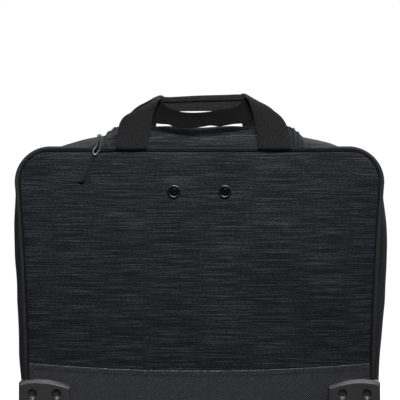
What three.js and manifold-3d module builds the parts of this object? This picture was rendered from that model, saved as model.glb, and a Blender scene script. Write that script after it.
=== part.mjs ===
// A soft-sided rolling laptop case: a zipped fabric body on two corner wheels and two front feet, with a
// two-stage telescoping handle that stows in a hood on the top, a pair of webbing carry handles and a front
// compartment that opens like a door on its bottom edge. Millimetres, +Z up, the wheels' side faces -Y.
// Every panel and fitting is its own mesh, and each keeps a small gap to its neighbours.
import * as THREE from "three";
import { mergeVertices } from "three/addons/utils/BufferGeometryUtils.js";
import Module from "manifold-3d";

const wasm = await Module();
wasm.setup();

// ---------------------------------------------------------------- driving dimensions
const GAP = 0.3; // between pieces that touch
const RUN = 0.1; // round a shaft that its wheel turns on
const BACK_Y = -100; // outer face of the back panel
const BACK_THICK = 6; // fabric, foam and stiffener
const ZIP_Y = 52; // plane where the front compartment parts from the body
const SKIN = 4; // thickness of a gusset: fabric, foam and lining
const CASE = {
  zBottom: 22,
  zTop: 347,
  halfTop: 214, // half width where the top corners begin
  halfWaist: 203.5, // pulls the side line in below them
  halfBottom: 202.5,
  cornerTop: 38,
  cornerBottom: 12,
};
const SIDE_BULGE = 15; // how far the stuffed gusset stands outside the back panel's seam
const DOME = { end: 1, rise: 24, power: 0.9 }; // the top's height over the seam: at its ends, added in the middle
const PIPING_OUT = 4.5; // how far the welt stands outside the panel's seam

const TROLLEY = {
  y: -74, // centre plane of the tubes
  tubeX: 75,
  tubeBottom: 34,
  travel: 250,
  outer: { w: 24, d: 15, wall: 1.2, top: 321 },
  mid: { w: 20.8, d: 11.8, wall: 1.1, top: 330 },
  inner: { w: 17.8, d: 8.8, wall: 1.0, top: 343.7 },
  collar: 5, // height of the moulded collar in the mouth of the outer and the middle tubes
  grip: { halfW: 95, d: 24, bottom: 344, top: 368 },
  button: { halfW: 22, d: 10, bottom: 362, top: 370.5 },
};
const HOOD = { half: 118, lipTop: 374, rearY: -97, slotRear: -87.2, slotFront: -60.8 };
const SCREW_X = 30; // the two bracket screws on the back
const SCREW_Z = 298;

const WHEEL = { x: 182, y: -86, z: 28, r: 28, width: 22, tyre: 6, axleR: 3 };
const HOUSING = {
  half: 30.5,
  rearY: -112,
  frontY: -52,
  bottom: 10,
  top: 78,
  shoulder: 70.5, // height of its top edge at the two sides
  bevel: 4.5,
  wellR: 30,
  wellHalf: 12.5,
  slotOff: 14.3, // screw slots, either side of its middle
  slotZ: 61.5,
  slotR: 5.2,
  grooveR: 4.2,
  grooveBottom: 45,
};
const FOOT = { x: 150, y: 36, halfW: 27, halfD: 11 };
const LID = { out: 1.5, rim: 9, panel: 14 }; // depths from the zip to the rim's and the panel's outer faces
const POCKET = { halfW: 196, bottom: 40, top: 328, depth: 42.5, skin: 3, mouthZ: 286, mouth: 6 };
const POCKET_REAR = ZIP_Y + LID.panel + GAP;
const POCKET_FACE = POCKET_REAR + POCKET.depth;

const STRAP = { width: 37, thick: 3.2 };
const HANDLE_X = 4.5; // the handles are sewn on a little to one side

// ---------------------------------------------------------------- materials
const finish = (color, roughness, metalness = 0) =>
  new THREE.MeshStandardMaterial({ color, roughness, metalness });
const MELANGE = finish(0x25272b, 0.9);
const TWILL = finish(0x2f3033, 0.85);
const WEBBING = finish(0x2a2a2a, 0.85);
const WELT = finish(0x141518, 0.8);
const LINING = finish(0x3a3c40, 0.9);
const PLASTIC = finish(0x343434, 0.45);
const ALUMINIUM = finish(0xa8aaad, 0.35, 1);
const NICKEL = finish(0xb0b0ac, 0.3, 1);
const BLACK_METAL = finish(0x1a1a1a, 0.35, 0.8);
const RUBBER = finish(0x1c1c1c, 0.8);

// ---------------------------------------------------------------- geometry helpers
const group = new THREE.Group();

function add(name, geometry, material, position = [0, 0, 0], rotation = [0, 0, 0]) {
  const mesh = new THREE.Mesh(geometry, material);
  mesh.name = name;
  mesh.position.set(...position);
  mesh.rotation.set(...rotation);
  group.add(mesh);
  return mesh;
}

const v3 = (x, y, z) => new THREE.Vector3(x, y, z);

// Turns the faces round if they point inwards.
function facingOut(geometry) {
  const p = geometry.attributes.position;
  const index = geometry.index.array;
  const corner = (k) => v3().fromBufferAttribute(p, index[k]);
  let volume = 0;
  for (let k = 0; k < index.length; k += 3) {
    volume += corner(k).dot(corner(k + 1).cross(corner(k + 2)));
  }
  if (volume < 0) {
    for (let k = 0; k < index.length; k += 3) {
      [index[k + 1], index[k + 2]] = [index[k + 2], index[k + 1]];
    }
  }
  return geometry;
}

function indexed(points, index) {
  const geometry = new THREE.BufferGeometry().setFromPoints(points);
  geometry.setIndex(index);
  return facingOut(geometry);
}

// A closed solid between two patches, each a function of u and v from 0 to 1.
function slab(nu, nv, outer, inner) {
  const points = [];
  const index = [];
  for (const patch of [outer, inner]) {
    for (let i = 0; i <= nu; i++) {
      for (let j = 0; j <= nv; j++) points.push(patch(i / nu, j / nv));
    }
  }
  const id = (side, i, j) => side * (nu + 1) * (nv + 1) + i * (nv + 1) + j;
  const quad = (a, b, c, d) => index.push(a, b, c, a, c, d);
  for (let i = 0; i < nu; i++) {
    for (let j = 0; j < nv; j++) {
      quad(id(0, i, j), id(0, i + 1, j), id(0, i + 1, j + 1), id(0, i, j + 1));
      quad(id(1, i, j), id(1, i, j + 1), id(1, i + 1, j + 1), id(1, i + 1, j));
    }
    quad(id(0, i, 0), id(1, i, 0), id(1, i + 1, 0), id(0, i + 1, 0));
    quad(id(0, i, nv), id(0, i + 1, nv), id(1, i + 1, nv), id(1, i, nv));
  }
  for (let j = 0; j < nv; j++) {
    quad(id(0, 0, j), id(0, 0, j + 1), id(1, 0, j + 1), id(1, 0, j));
    quad(id(0, nu, j), id(1, nu, j), id(1, nu, j + 1), id(0, nu, j + 1));
  }
  return indexed(points, index);
}

// A closed solid through sections that each hold the same number of points in convex order.
function loft(sections) {
  const n = sections[0].length;
  const index = [];
  for (let s = 0; s < sections.length - 1; s++) {
    for (let k = 0; k < n; k++) {
      const [a, b] = [s * n + k, s * n + ((k + 1) % n)];
      index.push(a, b, b + n, a, b + n, a + n);
    }
  }
  const last = (sections.length - 1) * n;
  for (let k = 1; k < n - 1; k++) {
    index.push(0, k + 1, k);
    index.push(last, last + k, last + k + 1);
  }
  return indexed(sections.flat(), index);
}

// Geometry to manifold solid and back, for cuts and joins.
function solid(geometry, mesh = null) {
  let g = geometry.clone();
  if (mesh) {
    mesh.updateMatrix();
    g.applyMatrix4(mesh.matrix);
  }
  g.deleteAttribute("normal");
  g.deleteAttribute("uv");
  g = mergeVertices(g, 1e-3);
  return new wasm.Manifold(
    new wasm.Mesh({
      numProp: 3,
      vertProperties: new Float32Array(g.attributes.position.array),
      triVerts: new Uint32Array(g.index.array),
    }),
  );
}

function placed(geometry, position, rotation = [0, 0, 0]) {
  const g = geometry.clone();
  const matrix = new THREE.Matrix4().makeRotationFromEuler(new THREE.Euler(...rotation));
  matrix.setPosition(...position);
  return solid(g.applyMatrix4(matrix));
}

function fromSolid(s) {
  const m = s.getMesh();
  const g = new THREE.BufferGeometry();
  const xyz = new Float32Array(m.numVert * 3);
  for (let i = 0; i < m.numVert; i++) {
    xyz.set(m.vertProperties.subarray(i * m.numProp, i * m.numProp + 3), i * 3);
  }
  g.setAttribute("position", new THREE.BufferAttribute(xyz, 3));
  g.setIndex(new THREE.BufferAttribute(m.triVerts, 1));
  return g;
}

const box = (x0, x1, y0, y1, z0, z1) =>
  placed(new THREE.BoxGeometry(x1 - x0, y1 - y0, z1 - z0), [
    (x0 + x1) / 2,
    (y0 + y1) / 2,
    (z0 + z1) / 2,
  ]);
const rodAlongY = (r, y0, y1, x, z, sides = 20) =>
  placed(new THREE.CylinderGeometry(r, r, y1 - y0, sides), [x, (y0 + y1) / 2, z]);
const rodAlongX = (r, x0, x1, y, z, sides = 24) =>
  placed(new THREE.CylinderGeometry(r, r, x1 - x0, sides), [(x0 + x1) / 2, y, z], [
    0,
    0,
    Math.PI / 2,
  ]);
const rodAlongZ = (r, z0, z1, x, y, sides = 16) =>
  placed(new THREE.CylinderGeometry(r, r, z1 - z0, sides), [x, y, (z0 + z1) / 2], [
    Math.PI / 2,
    0,
    0,
  ]);

// A flat shape drawn in X and Z, standing between two depths.
function upright(shape, yNear, yFar, options = {}) {
  const g = new THREE.ExtrudeGeometry(shape, {
    depth: yFar - yNear,
    bevelEnabled: false,
    curveSegments: 8,
    ...options,
  });
  return g.rotateX(Math.PI / 2).translate(0, yFar, 0);
}

function roundedRect(halfX, halfY, radius) {
  const s = new THREE.Shape();
  s.moveTo(-halfX + radius, -halfY);
  s.lineTo(halfX - radius, -halfY);
  s.absarc(halfX - radius, -halfY + radius, radius, -Math.PI / 2, 0);
  s.absarc(halfX - radius, halfY - radius, radius, 0, Math.PI / 2);
  s.absarc(-halfX + radius, halfY - radius, radius, Math.PI / 2, Math.PI);
  s.absarc(-halfX + radius, -halfY + radius, radius, Math.PI, 1.5 * Math.PI);
  return s;
}

// ---------------------------------------------------------------- the case's outline
const CIRCLE = 0.5523; // handle length of a cubic that draws a quarter circle

// The outline of the back panel, moved outwards by `out`.
function caseShape(out = 0, type = THREE.Shape) {
  const c = CASE;
  const [zb, zt] = [c.zBottom - out, c.zTop + out];
  const [ht, hw, hb] = [c.halfTop + out, c.halfWaist + out, c.halfBottom + out];
  const [rt, rb] = [c.cornerTop + out, Math.max(c.cornerBottom + out, 2)];
  const zs = zt - rt;
  const zw = (zb + zs) / 2 + 12;
  const k = 1 - CIRCLE;
  const s = new type();
  s.moveTo(hb - rb, zb);
  s.bezierCurveTo(hb - rb * k, zb, hb, zb + rb * k, hb, zb + rb);
  s.quadraticCurveTo(hw, zw, ht, zs);
  s.bezierCurveTo(ht, zt - rt * k, ht - rt * k, zt, ht - rt, zt);
  s.lineTo(-ht + rt, zt);
  s.bezierCurveTo(-ht + rt * k, zt, -ht, zt - rt * k, -ht, zs);
  s.quadraticCurveTo(-hw, zw, -hb, zb + rb);
  s.bezierCurveTo(-hb, zb + rb * k, -hb + rb * k, zb, -hb + rb, zb);
  s.closePath();
  return s;
}

// One side of the outline from the bottom to the end of the top corner, as a point and an outward normal.
function sideLine(u, sign, out) {
  const c = CASE;
  const zs = c.zTop - c.cornerTop;
  const zLow = c.zBottom + c.cornerBottom;
  const side = new THREE.QuadraticBezierCurve(
    new THREE.Vector2(c.halfBottom, zLow),
    new THREE.Vector2(c.halfWaist, (c.zBottom + zs) / 2 + 12),
    new THREE.Vector2(c.halfTop, zs),
  );
  const k = 1 - CIRCLE;
  const corner = new THREE.CubicBezierCurve(
    new THREE.Vector2(c.halfTop, zs),
    new THREE.Vector2(c.halfTop, c.zTop - c.cornerTop * k),
    new THREE.Vector2(c.halfTop - c.cornerTop * k, c.zTop),
    new THREE.Vector2(c.halfTop - c.cornerTop, c.zTop),
  );
  const bend = 0.62; // share of u that runs up the side
  const [curve, t] = u <= bend ? [side, u / bend] : [corner, (u - bend) / (1 - bend)];
  const p = curve.getPoint(t);
  const d = curve.getTangent(t);
  return { x: sign * (p.x + d.y * out), z: p.y - d.x * out, nx: sign * d.y, nz: -d.x };
}

// Depth profile of a stuffed gusset, 0 at the seams and 1 where it stands out furthest.
const crown = (v) => Math.pow(Math.sin(Math.PI * Math.pow(v, 0.85)), 0.75);
const gussetY = (v) => BACK_Y + BACK_THICK + GAP + v * (ZIP_Y - BACK_Y - BACK_THICK - 2 * GAP);
// How far the gusset stands out along a side: less at the bottom, and easing into the top round the corner.
function sideBulge(u) {
  const low = 0.55 + 0.45 * Math.min(1, u / 0.3);
  const corner = THREE.MathUtils.smoothstep(u, 0.62, 1);
  return SIDE_BULGE * low * (1 - corner) + DOME.end * corner;
}
const domeHeight = (x) => {
  const end = CASE.halfTop - CASE.cornerTop;
  return DOME.end + DOME.rise * Math.max(0, 1 - (x / end) ** 2) ** DOME.power;
};
// Height of the top's outer skin.
function topZ(x, y) {
  const v = (y - gussetY(0)) / (gussetY(1) - gussetY(0));
  return CASE.zTop + 2 + domeHeight(x) * crown(THREE.MathUtils.clamp(v, 0.02, 0.98));
}

// ---------------------------------------------------------------- wheel housings, first, because they cut the panels
function housingBlock(sign, out) {
  const h = HOUSING;
  const shape = new THREE.Shape();
  const half = h.half + out;
  shape.moveTo(-half, h.bottom - out);
  shape.lineTo(half, h.bottom - out);
  shape.lineTo(half, h.shoulder + out);
  shape.quadraticCurveTo(0, 2 * (h.top + out) - h.shoulder - out, -half, h.shoulder + out);
  shape.closePath();
  const length = h.frontY - h.rearY + 2 * out - 2 * h.bevel;
  const g = new THREE.ExtrudeGeometry(shape, {
    depth: length,
    curveSegments: 10,
    bevelEnabled: true,
    bevelThickness: h.bevel,
    bevelSize: h.bevel,
    bevelOffset: -h.bevel,
    bevelSegments: 2,
  });
  g.rotateX(Math.PI / 2);
  const arch = placed(g, [sign * WHEEL.x, h.frontY + out - h.bevel, 0]);
  // The side view: its lower rear edge is cut back so that the wheel leads when the case is tilted.
  const side = new THREE.Shape();
  side.moveTo(h.rearY - out, 36 - out);
  side.lineTo(-97 - out, h.bottom - out);
  side.lineTo(h.frontY + out, h.bottom - out);
  side.lineTo(h.frontY + out, h.top + out);
  side.lineTo(h.rearY - out, h.top + out);
  side.closePath();
  const sideG = new THREE.ExtrudeGeometry(side, { depth: 2 * half + 2, bevelEnabled: false });
  // Local X, Y, Z become world Y, Z, X.
  sideG.applyMatrix4(new THREE.Matrix4().makeBasis(v3(0, 1, 0), v3(0, 0, 1), v3(1, 0, 0)));
  return arch.intersect(placed(sideG, [sign * WHEEL.x - half - 1, 0, 0]));
}

function wheelHousing(sign) {
  const h = HOUSING;
  const w = WHEEL;
  const cx = sign * w.x;
  let s = housingBlock(sign, 0);
  s = s.subtract(rodAlongX(h.wellR, cx - h.wellHalf, cx + h.wellHalf, w.y, w.z, 28));
  s = s.subtract(
    box(cx - h.wellHalf, cx + h.wellHalf, w.y - h.wellR, w.y + h.wellR, -1, w.z),
  );
  s = s.subtract(rodAlongX(w.axleR + 0.4, cx - 40, cx + 40, w.y, w.z, 16));
  for (const off of [-h.slotOff, h.slotOff]) {
    const drop = 0.06 * Math.abs(off); // the slots follow the arch a little
    s = s.subtract(rodAlongY(h.slotR, h.rearY - 1, h.rearY + 12, cx + off, h.slotZ - drop));
    s = s.subtract(
      rodAlongZ(h.grooveR, h.grooveBottom, h.slotZ, cx + off, h.rearY - 0.4, 14),
    );
  }
  return s;
}

const housingCuts = [-1, 1].map((sign) => housingBlock(sign, GAP));
const clearOfHousings = (s) => housingCuts.reduce((left, cut) => left.subtract(cut), s);

// ---------------------------------------------------------------- body panels
function bodyPanels() {
  const holes = [-SCREW_X, SCREW_X].map((x) =>
    rodAlongY(2.4, BACK_Y - 1, BACK_Y + BACK_THICK + 1, x, SCREW_Z),
  );
  let back = solid(upright(caseShape(0), BACK_Y, BACK_Y + BACK_THICK));
  for (const hole of holes) back = back.subtract(hole);
  add("back_panel", fromSolid(clearOfHousings(back)), MELANGE);

  // Abrasion panel over the lower back, its top edge dipping towards the middle.
  const guard = new THREE.Shape();
  const half = CASE.halfBottom - 0.5;
  guard.moveTo(-half, CASE.zBottom + 1);
  guard.lineTo(half, CASE.zBottom + 1);
  guard.lineTo(half + 0.5, 95);
  guard.quadraticCurveTo(0, 77, -half - 0.5, 95);
  guard.closePath();
  const guardG = upright(guard, BACK_Y - GAP - 1.2, BACK_Y - GAP);
  add("rear_guard_panel", fromSolid(clearOfHousings(solid(guardG))), TWILL);

  // Welt sewn round the back panel.
  const ring = solid(upright(caseShape(PIPING_OUT), BACK_Y + 0.5, BACK_Y + BACK_THICK - 0.5));
  const inside = solid(upright(caseShape(GAP), BACK_Y - 5, BACK_Y + 20));
  const underHousings = box(-300, 300, -200, 0, 0, 60);
  add(
    "back_piping",
    fromSolid(clearOfHousings(ring.subtract(inside).subtract(underHousings))),
    WELT,
  );

  for (const [name, sign] of [
    ["left_gusset", -1],
    ["right_gusset", 1],
  ]) {
    const skin = (depth) => (u, v) => {
      const out = 2 + sideBulge(u) * crown(v) - depth;
      const p = sideLine(u, sign, out);
      return v3(p.x, gussetY(v), p.z);
    };
    const g = slab(14, 8, skin(0), skin(SKIN));
    add(name, fromSolid(clearOfHousings(solid(g))), MELANGE);
  }

  // The top, in front of the handle hood.
  const end = CASE.halfTop - CASE.cornerTop - GAP;
  const yRear = HOOD.slotFront + 5;
  const topSkin = (depth) => (u, v) => {
    const x = -end + 2 * end * u;
    const y = yRear + v * (gussetY(1) - yRear);
    return v3(x, y, topZ(x, y) - depth);
  };
  add("top_gusset", slab(16, 6, topSkin(0), topSkin(SKIN)), MELANGE);

  const base = box(
    -CASE.halfBottom + 4,
    CASE.halfBottom - 4,
    gussetY(0),
    gussetY(1),
    CASE.zBottom,
    CASE.zBottom + 4,
  );
  add("base_board", fromSolid(clearOfHousings(base)), TWILL);
}

// ---------------------------------------------------------------- hood over the stowed handle
function hood() {
  const h = HOOD;
  // How high the lips stand at x: level over the grip, falling at both shoulders.
  const lip = (x) => h.lipTop - 13 * Math.pow(Math.abs(x) / h.half, 12);
  const xAt = (u) => -h.half + 2 * h.half * u;
  const rear = (depth) => (u, v) => {
    const x = xAt(u);
    const z0 = CASE.zTop + PIPING_OUT + 0.5;
    return v3(x, h.rearY + depth + (h.slotRear - 2.6 - h.rearY) * v * v, z0 + (lip(x) - z0) * v);
  };
  add("hood_rear_lip", slab(14, 4, rear(0), rear(2.5)), MELANGE);

  const front = (depth) => (u, v) => {
    const x = xAt(u);
    const y = h.slotFront + 4.4 * v;
    const zLow = topZ(x, h.slotFront + 5);
    return v3(x, y, lip(x) + (zLow - lip(x)) * v * v - depth);
  };
  add("hood_front_lip", slab(14, 2, front(0), front(3)), MELANGE);

  // Closed ends of the hood, down to the corners of the case.
  for (const [name, sign] of [
    ["hood_end_left", -1],
    ["hood_end_right", 1],
  ]) {
    const skin = (depth) => (u, v) => {
      const x = sign * (h.half + GAP + u * (CASE.halfTop - CASE.cornerTop - h.half - 2 * GAP));
      const y = gussetY(0) + v * (h.slotFront + 4.7 - gussetY(0));
      return v3(x, y, topZ(x, y) + PIPING_OUT * (1 - v) * (1 - u) * 0.5 - depth);
    };
    add(name, slab(4, 4, skin(0), skin(SKIN)), MELANGE);
  }
}

// ---------------------------------------------------------------- inside
function inside() {
  const half = CASE.halfBottom - 6;
  const wall = new THREE.Shape();
  const [zLow, zHigh] = [CASE.zBottom + 4 + GAP, CASE.zTop - 8];
  wall.moveTo(-half, zLow);
  wall.lineTo(half, zLow);
  wall.lineTo(half, zHigh - 36);
  wall.lineTo(half - 30, zHigh);
  wall.lineTo(-half + 30, zHigh);
  wall.lineTo(-half, zHigh - 36);
  wall.closePath();
  const divider = solid(upright(wall, -56, -52));
  add("divider_panel", fromSolid(clearOfHousings(divider)), LINING);

  // Padded sleeve for the laptop: a pocket wall with folded sides, open at the top.
  const [w, h0, h1] = [190, zLow + 2, 265];
  const sleeve = box(-w, w, -51.7, -16, h0, h1).subtract(
    box(-w + 6, w - 6, -52, -22, h0 + 6, h1 + 1),
  );
  add("laptop_sleeve", fromSolid(sleeve), LINING);
}

// ---------------------------------------------------------------- front compartment
function lid() {
  const outline = caseShape(LID.out);
  const ring = solid(upright(outline, ZIP_Y + GAP, ZIP_Y + LID.rim)).subtract(
    solid(upright(caseShape(-SKIN), ZIP_Y - 5, ZIP_Y + LID.rim + 5)),
  );
  add("lid_rim", fromSolid(ring), MELANGE);
  add("lid_panel", upright(outline, ZIP_Y + LID.rim + GAP, ZIP_Y + LID.panel), MELANGE);

  // The stuffed pocket on the lid: a skin with rounded edges, open towards the lid and along its zip.
  const q = POCKET;
  const pillow = (inset) => {
    const half = (q.top - q.bottom) / 2 - inset;
    const round = 12;
    const g = new THREE.ExtrudeGeometry(roundedRect(q.halfW - inset, half, 34 - inset), {
      depth: q.depth - round - inset,
      curveSegments: 6,
      bevelEnabled: true,
      bevelThickness: round,
      bevelSize: round,
      bevelOffset: -round,
      bevelSegments: 4,
    });
    g.rotateX(Math.PI / 2);
    return placed(g, [0, POCKET_FACE - inset - round, (q.top + q.bottom) / 2]);
  };
  const mouth = box(-150, 150, POCKET_FACE - 12, POCKET_FACE + 1, q.mouthZ - q.mouth / 2, q.mouthZ + q.mouth / 2);
  const front = box(-300, 300, POCKET_REAR, POCKET_FACE + 1, 0, 400);
  add("front_pocket", fromSolid(pillow(0).intersect(front).subtract(pillow(q.skin)).subtract(mouth)), MELANGE);
}

// ---------------------------------------------------------------- telescoping handle
function tube(name, spec, sign, zBottom) {
  const outer = roundedRect(spec.w / 2, spec.d / 2, spec.d / 2 - 1.5);
  const holeShape = roundedRect(
    spec.w / 2 - spec.wall,
    spec.d / 2 - spec.wall,
    spec.d / 2 - 1.5 - spec.wall,
  );
  outer.holes.push(holeShape);
  const g = new THREE.ExtrudeGeometry(outer, {
    depth: spec.top - zBottom,
    bevelEnabled: false,
    curveSegments: 3,
  });
  add(name, g, ALUMINIUM, [sign * TROLLEY.tubeX, TROLLEY.y, zBottom]);
}

// The moulded collar that sits on the end of one tube and guides the next.
function collar(name, spec, next, sign) {
  const shape = roundedRect(spec.w / 2, spec.d / 2, spec.d / 2 - 1.5);
  const room = 0.3;
  shape.holes.push(roundedRect(next.w / 2 + room, next.d / 2 + room, next.d / 2 - 1.2));
  const g = new THREE.ExtrudeGeometry(shape, {
    depth: TROLLEY.collar,
    bevelEnabled: false,
    curveSegments: 3,
  });
  add(name, g, PLASTIC, [sign * TROLLEY.tubeX, TROLLEY.y, spec.top + GAP]);
}

function trolley() {
  const t = TROLLEY;
  for (const [side, sign] of [
    ["left", -1],
    ["right", 1],
  ]) {
    tube(`outer_tube_${side}`, t.outer, sign, t.tubeBottom);
    tube(`mid_tube_${side}`, t.mid, sign, t.tubeBottom + 2);
    tube(`inner_tube_${side}`, t.inner, sign, t.tubeBottom + 4);
    collar(`outer_collar_${side}`, t.outer, t.mid, sign);
    collar(`mid_collar_${side}`, t.mid, t.inner, sign);
  }

  const yBack = BACK_Y + BACK_THICK + GAP;
  const yFront = t.y + t.outer.d / 2 + 4;
  let upper = box(-96, 96, yBack, yFront, SCREW_Z - 16, SCREW_Z + 18);
  for (const sign of [-1, 1]) {
    const x = sign * t.tubeX;
    const [hw, hd] = [t.outer.w / 2 + GAP, t.outer.d / 2 + GAP];
    upper = upper.subtract(box(x - hw, x + hw, t.y - hd, t.y + hd, 200, 400));
    upper = upper.subtract(rodAlongY(2.4, yBack - 1, yBack + 14, sign * SCREW_X, SCREW_Z, 16));
  }
  upper = upper.subtract(box(-56, 56, yBack + 15, yFront + 1, 200, 400));
  add("upper_bracket", fromSolid(upper), PLASTIC);
  add(
    "lower_bracket",
    fromSolid(box(-94, 94, yBack, yFront, CASE.zBottom + 4 + GAP, t.tubeBottom - GAP)),
    PLASTIC,
  );

  const g = t.grip;
  const gripShape = roundedRect(g.halfW, (g.top - g.bottom) / 2, 9);
  let grip = placed(
    new THREE.ExtrudeGeometry(gripShape, {
      depth: g.d - 8,
      curveSegments: 5,
      bevelEnabled: true,
      bevelThickness: 4,
      bevelSize: 4,
      bevelOffset: -4,
      bevelSegments: 3,
    }).rotateX(Math.PI / 2),
    [0, t.y + g.d / 2 - 4, (g.top + g.bottom) / 2],
  );
  const b = t.button;
  grip = grip.subtract(
    box(-b.halfW - GAP, b.halfW + GAP, t.y - b.d / 2 - GAP, t.y + b.d / 2 + GAP, b.bottom - 5, 400),
  );
  add("grip", fromSolid(grip), PLASTIC);
  const buttonShape = roundedRect(b.halfW, b.d / 2, 4.5);
  add(
    "release_button",
    new THREE.ExtrudeGeometry(buttonShape, {
      depth: b.top - b.bottom,
      bevelEnabled: false,
      curveSegments: 4,
    }),
    PLASTIC,
    [0, t.y, b.bottom],
  );
}

// Cup washers and screws that hold the upper bracket through the back panel.
function bracketScrews() {
  const p = (r, y) => new THREE.Vector2(r, y);
  const cup = [p(2.5, 0), p(7.6, 0), p(7.6, 1.0), p(6.6, 2.3), p(5.6, 2.3), p(4.8, 1.2), p(2.5, 1.2), p(2.5, 0)];
  const screw = [p(0, -16), p(2, -16), p(2, 1.5), p(4.3, 1.5), p(4.3, 2.4), p(3.2, 3.3), p(0, 3.6)];
  for (const [side, sign] of [
    ["left", -1],
    ["right", 1],
  ]) {
    const at = [sign * SCREW_X, BACK_Y - GAP, SCREW_Z];
    add(`eyelet_${side}`, new THREE.LatheGeometry(cup, 20), NICKEL, at, [Math.PI, 0, 0]);
    add(`bracket_screw_${side}`, new THREE.LatheGeometry(screw, 14), BLACK_METAL, at, [Math.PI, 0, 0]);
  }
}

// ---------------------------------------------------------------- wheels and feet
function wheels() {
  const w = WHEEL;
  const p = (r, x) => new THREE.Vector2(r, x);
  const half = w.width / 2;
  const rim = w.r - w.tyre;
  const tyre = [p(rim, -half), p(w.r - 2, -half), p(w.r, -half + 3), p(w.r, half - 3), p(w.r - 2, half), p(rim, half), p(rim, -half)];
  const hub = [
    p(w.axleR + RUN, -half - 0.8),
    p(8, -half - 0.8),
    p(8, -4),
    p(rim - 3, -4),
    p(rim - 3, -half + 0.6),
    p(rim - GAP, -half + 0.6),
    p(rim - GAP, half - 0.6),
    p(rim - 3, half - 0.6),
    p(rim - 3, 4),
    p(8, 4),
    p(8, half + 0.8),
    p(w.axleR + RUN, half + 0.8),
    p(w.axleR + RUN, -half - 0.8),
  ];
  const axle = [p(0, -28), p(w.axleR, -28), p(w.axleR, 28), p(0, 28)];
  const h = HOUSING;
  for (const [side, sign] of [
    ["left", -1],
    ["right", 1],
  ]) {
    const at = [sign * w.x, w.y, w.z];
    const turn = [0, 0, -Math.PI / 2];
    add(`wheel_housing_${side}`, fromSolid(wheelHousing(sign)), PLASTIC);
    add(`wheel_tyre_${side}`, new THREE.LatheGeometry(tyre, 32), RUBBER, at, turn);
    add(`wheel_hub_${side}`, new THREE.LatheGeometry(hub, 24), PLASTIC, at, turn);
    add(`wheel_axle_${side}`, new THREE.LatheGeometry(axle, 14), ALUMINIUM, at, turn);
    for (const [which, off] of [
      ["inner", -h.slotOff],
      ["outer", h.slotOff],
    ]) {
      const drop = 0.06 * h.slotOff;
      const screw = new THREE.LatheGeometry([p(0, 0), p(3.9, 0), p(3.9, 1.8), p(2.6, 2.6), p(0, 2.8)], 12);
      add(
        `housing_screw_${side}_${which}`,
        screw,
        BLACK_METAL,
        [sign * (w.x + off), h.rearY + 12 - GAP, h.slotZ - drop],
        [Math.PI, 0, 0],
      );
    }
  }

  const f = FOOT;
  for (const [side, sign] of [
    ["left", -1],
    ["right", 1],
  ]) {
    const ring = (halfW, halfD, z) => [
      v3(sign * f.x - halfW, f.y - halfD, z),
      v3(sign * f.x + halfW, f.y - halfD, z),
      v3(sign * f.x + halfW, f.y + halfD, z),
      v3(sign * f.x - halfW, f.y + halfD, z),
    ];
    add(
      `front_foot_${side}`,
      loft([
        ring(f.halfW - 5, f.halfD - 3, 0),
        ring(f.halfW - 3, f.halfD - 1.5, 2),
        ring(f.halfW, f.halfD, CASE.zBottom - GAP),
      ]),
      PLASTIC,
    );
  }
}

// ---------------------------------------------------------------- webbing carry handles
// Each is a standing arch of webbing: two legs that lean in and fold over at a tip, and a grip band between.
function carryHandle(name, h) {
  const s = new THREE.Shape();
  s.moveTo(h.legOuter, h.base);
  s.quadraticCurveTo(h.legOuter - 1, h.shoulder - 12, h.shoulderX, h.shoulder);
  s.lineTo(h.tipX, h.tip);
  s.lineTo(h.tipX - 8, h.tip - 1);
  s.quadraticCurveTo(0, 2 * h.gripTop - h.tip, -h.tipX + 8, h.tip - 1);
  s.lineTo(-h.tipX, h.tip);
  s.lineTo(-h.shoulderX, h.shoulder);
  s.quadraticCurveTo(-h.legOuter + 1, h.shoulder - 12, -h.legOuter, h.base);
  s.lineTo(-h.legOuter + STRAP.width, h.base);
  s.lineTo(-h.legOuter + STRAP.width + 5, h.gripBottom + 2);
  s.lineTo(h.legOuter - STRAP.width - 5, h.gripBottom + 2);
  s.lineTo(h.legOuter - STRAP.width, h.base);
  s.closePath();
  const g = upright(s, h.y, h.y + STRAP.thick);
  add(name, g.translate(HANDLE_X, 0, 0), WEBBING);
}

function carryHandles() {
  carryHandle("rear_carry_handle", {
    y: -103.6,
    base: 348.6,
    legOuter: 103,
    shoulderX: 84,
    shoulder: 387,
    tipX: 52,
    tip: 411,
    gripTop: 391,
    gripBottom: 373,
  });
  carryHandle("front_carry_handle", {
    y: -43.6,
    base: 374,
    legOuter: 100,
    shoulderX: 82,
    shoulder: 394,
    tipX: 52,
    tip: 416.5,
    gripTop: 416,
    gripBottom: 396,
  });
}

// ---------------------------------------------------------------- zip sliders and pulls
function ringPlate(halfW, length, holeHalf, thick) {
  const s = roundedRect(halfW, length / 2, halfW - 0.4);
  s.holes.push(roundedRect(holeHalf, length / 2 - (halfW - holeHalf), holeHalf - 0.3));
  return new THREE.ExtrudeGeometry(s, { depth: thick, bevelEnabled: false, curveSegments: 5 });
}

// A pull that hangs in an upright plane from `top`, leaning sideways by `lean` radians.
function hangingPull(name, geometry, material, top, lean) {
  add(name, geometry, material, top, [Math.PI / 2, 0, lean]);
}

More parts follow.
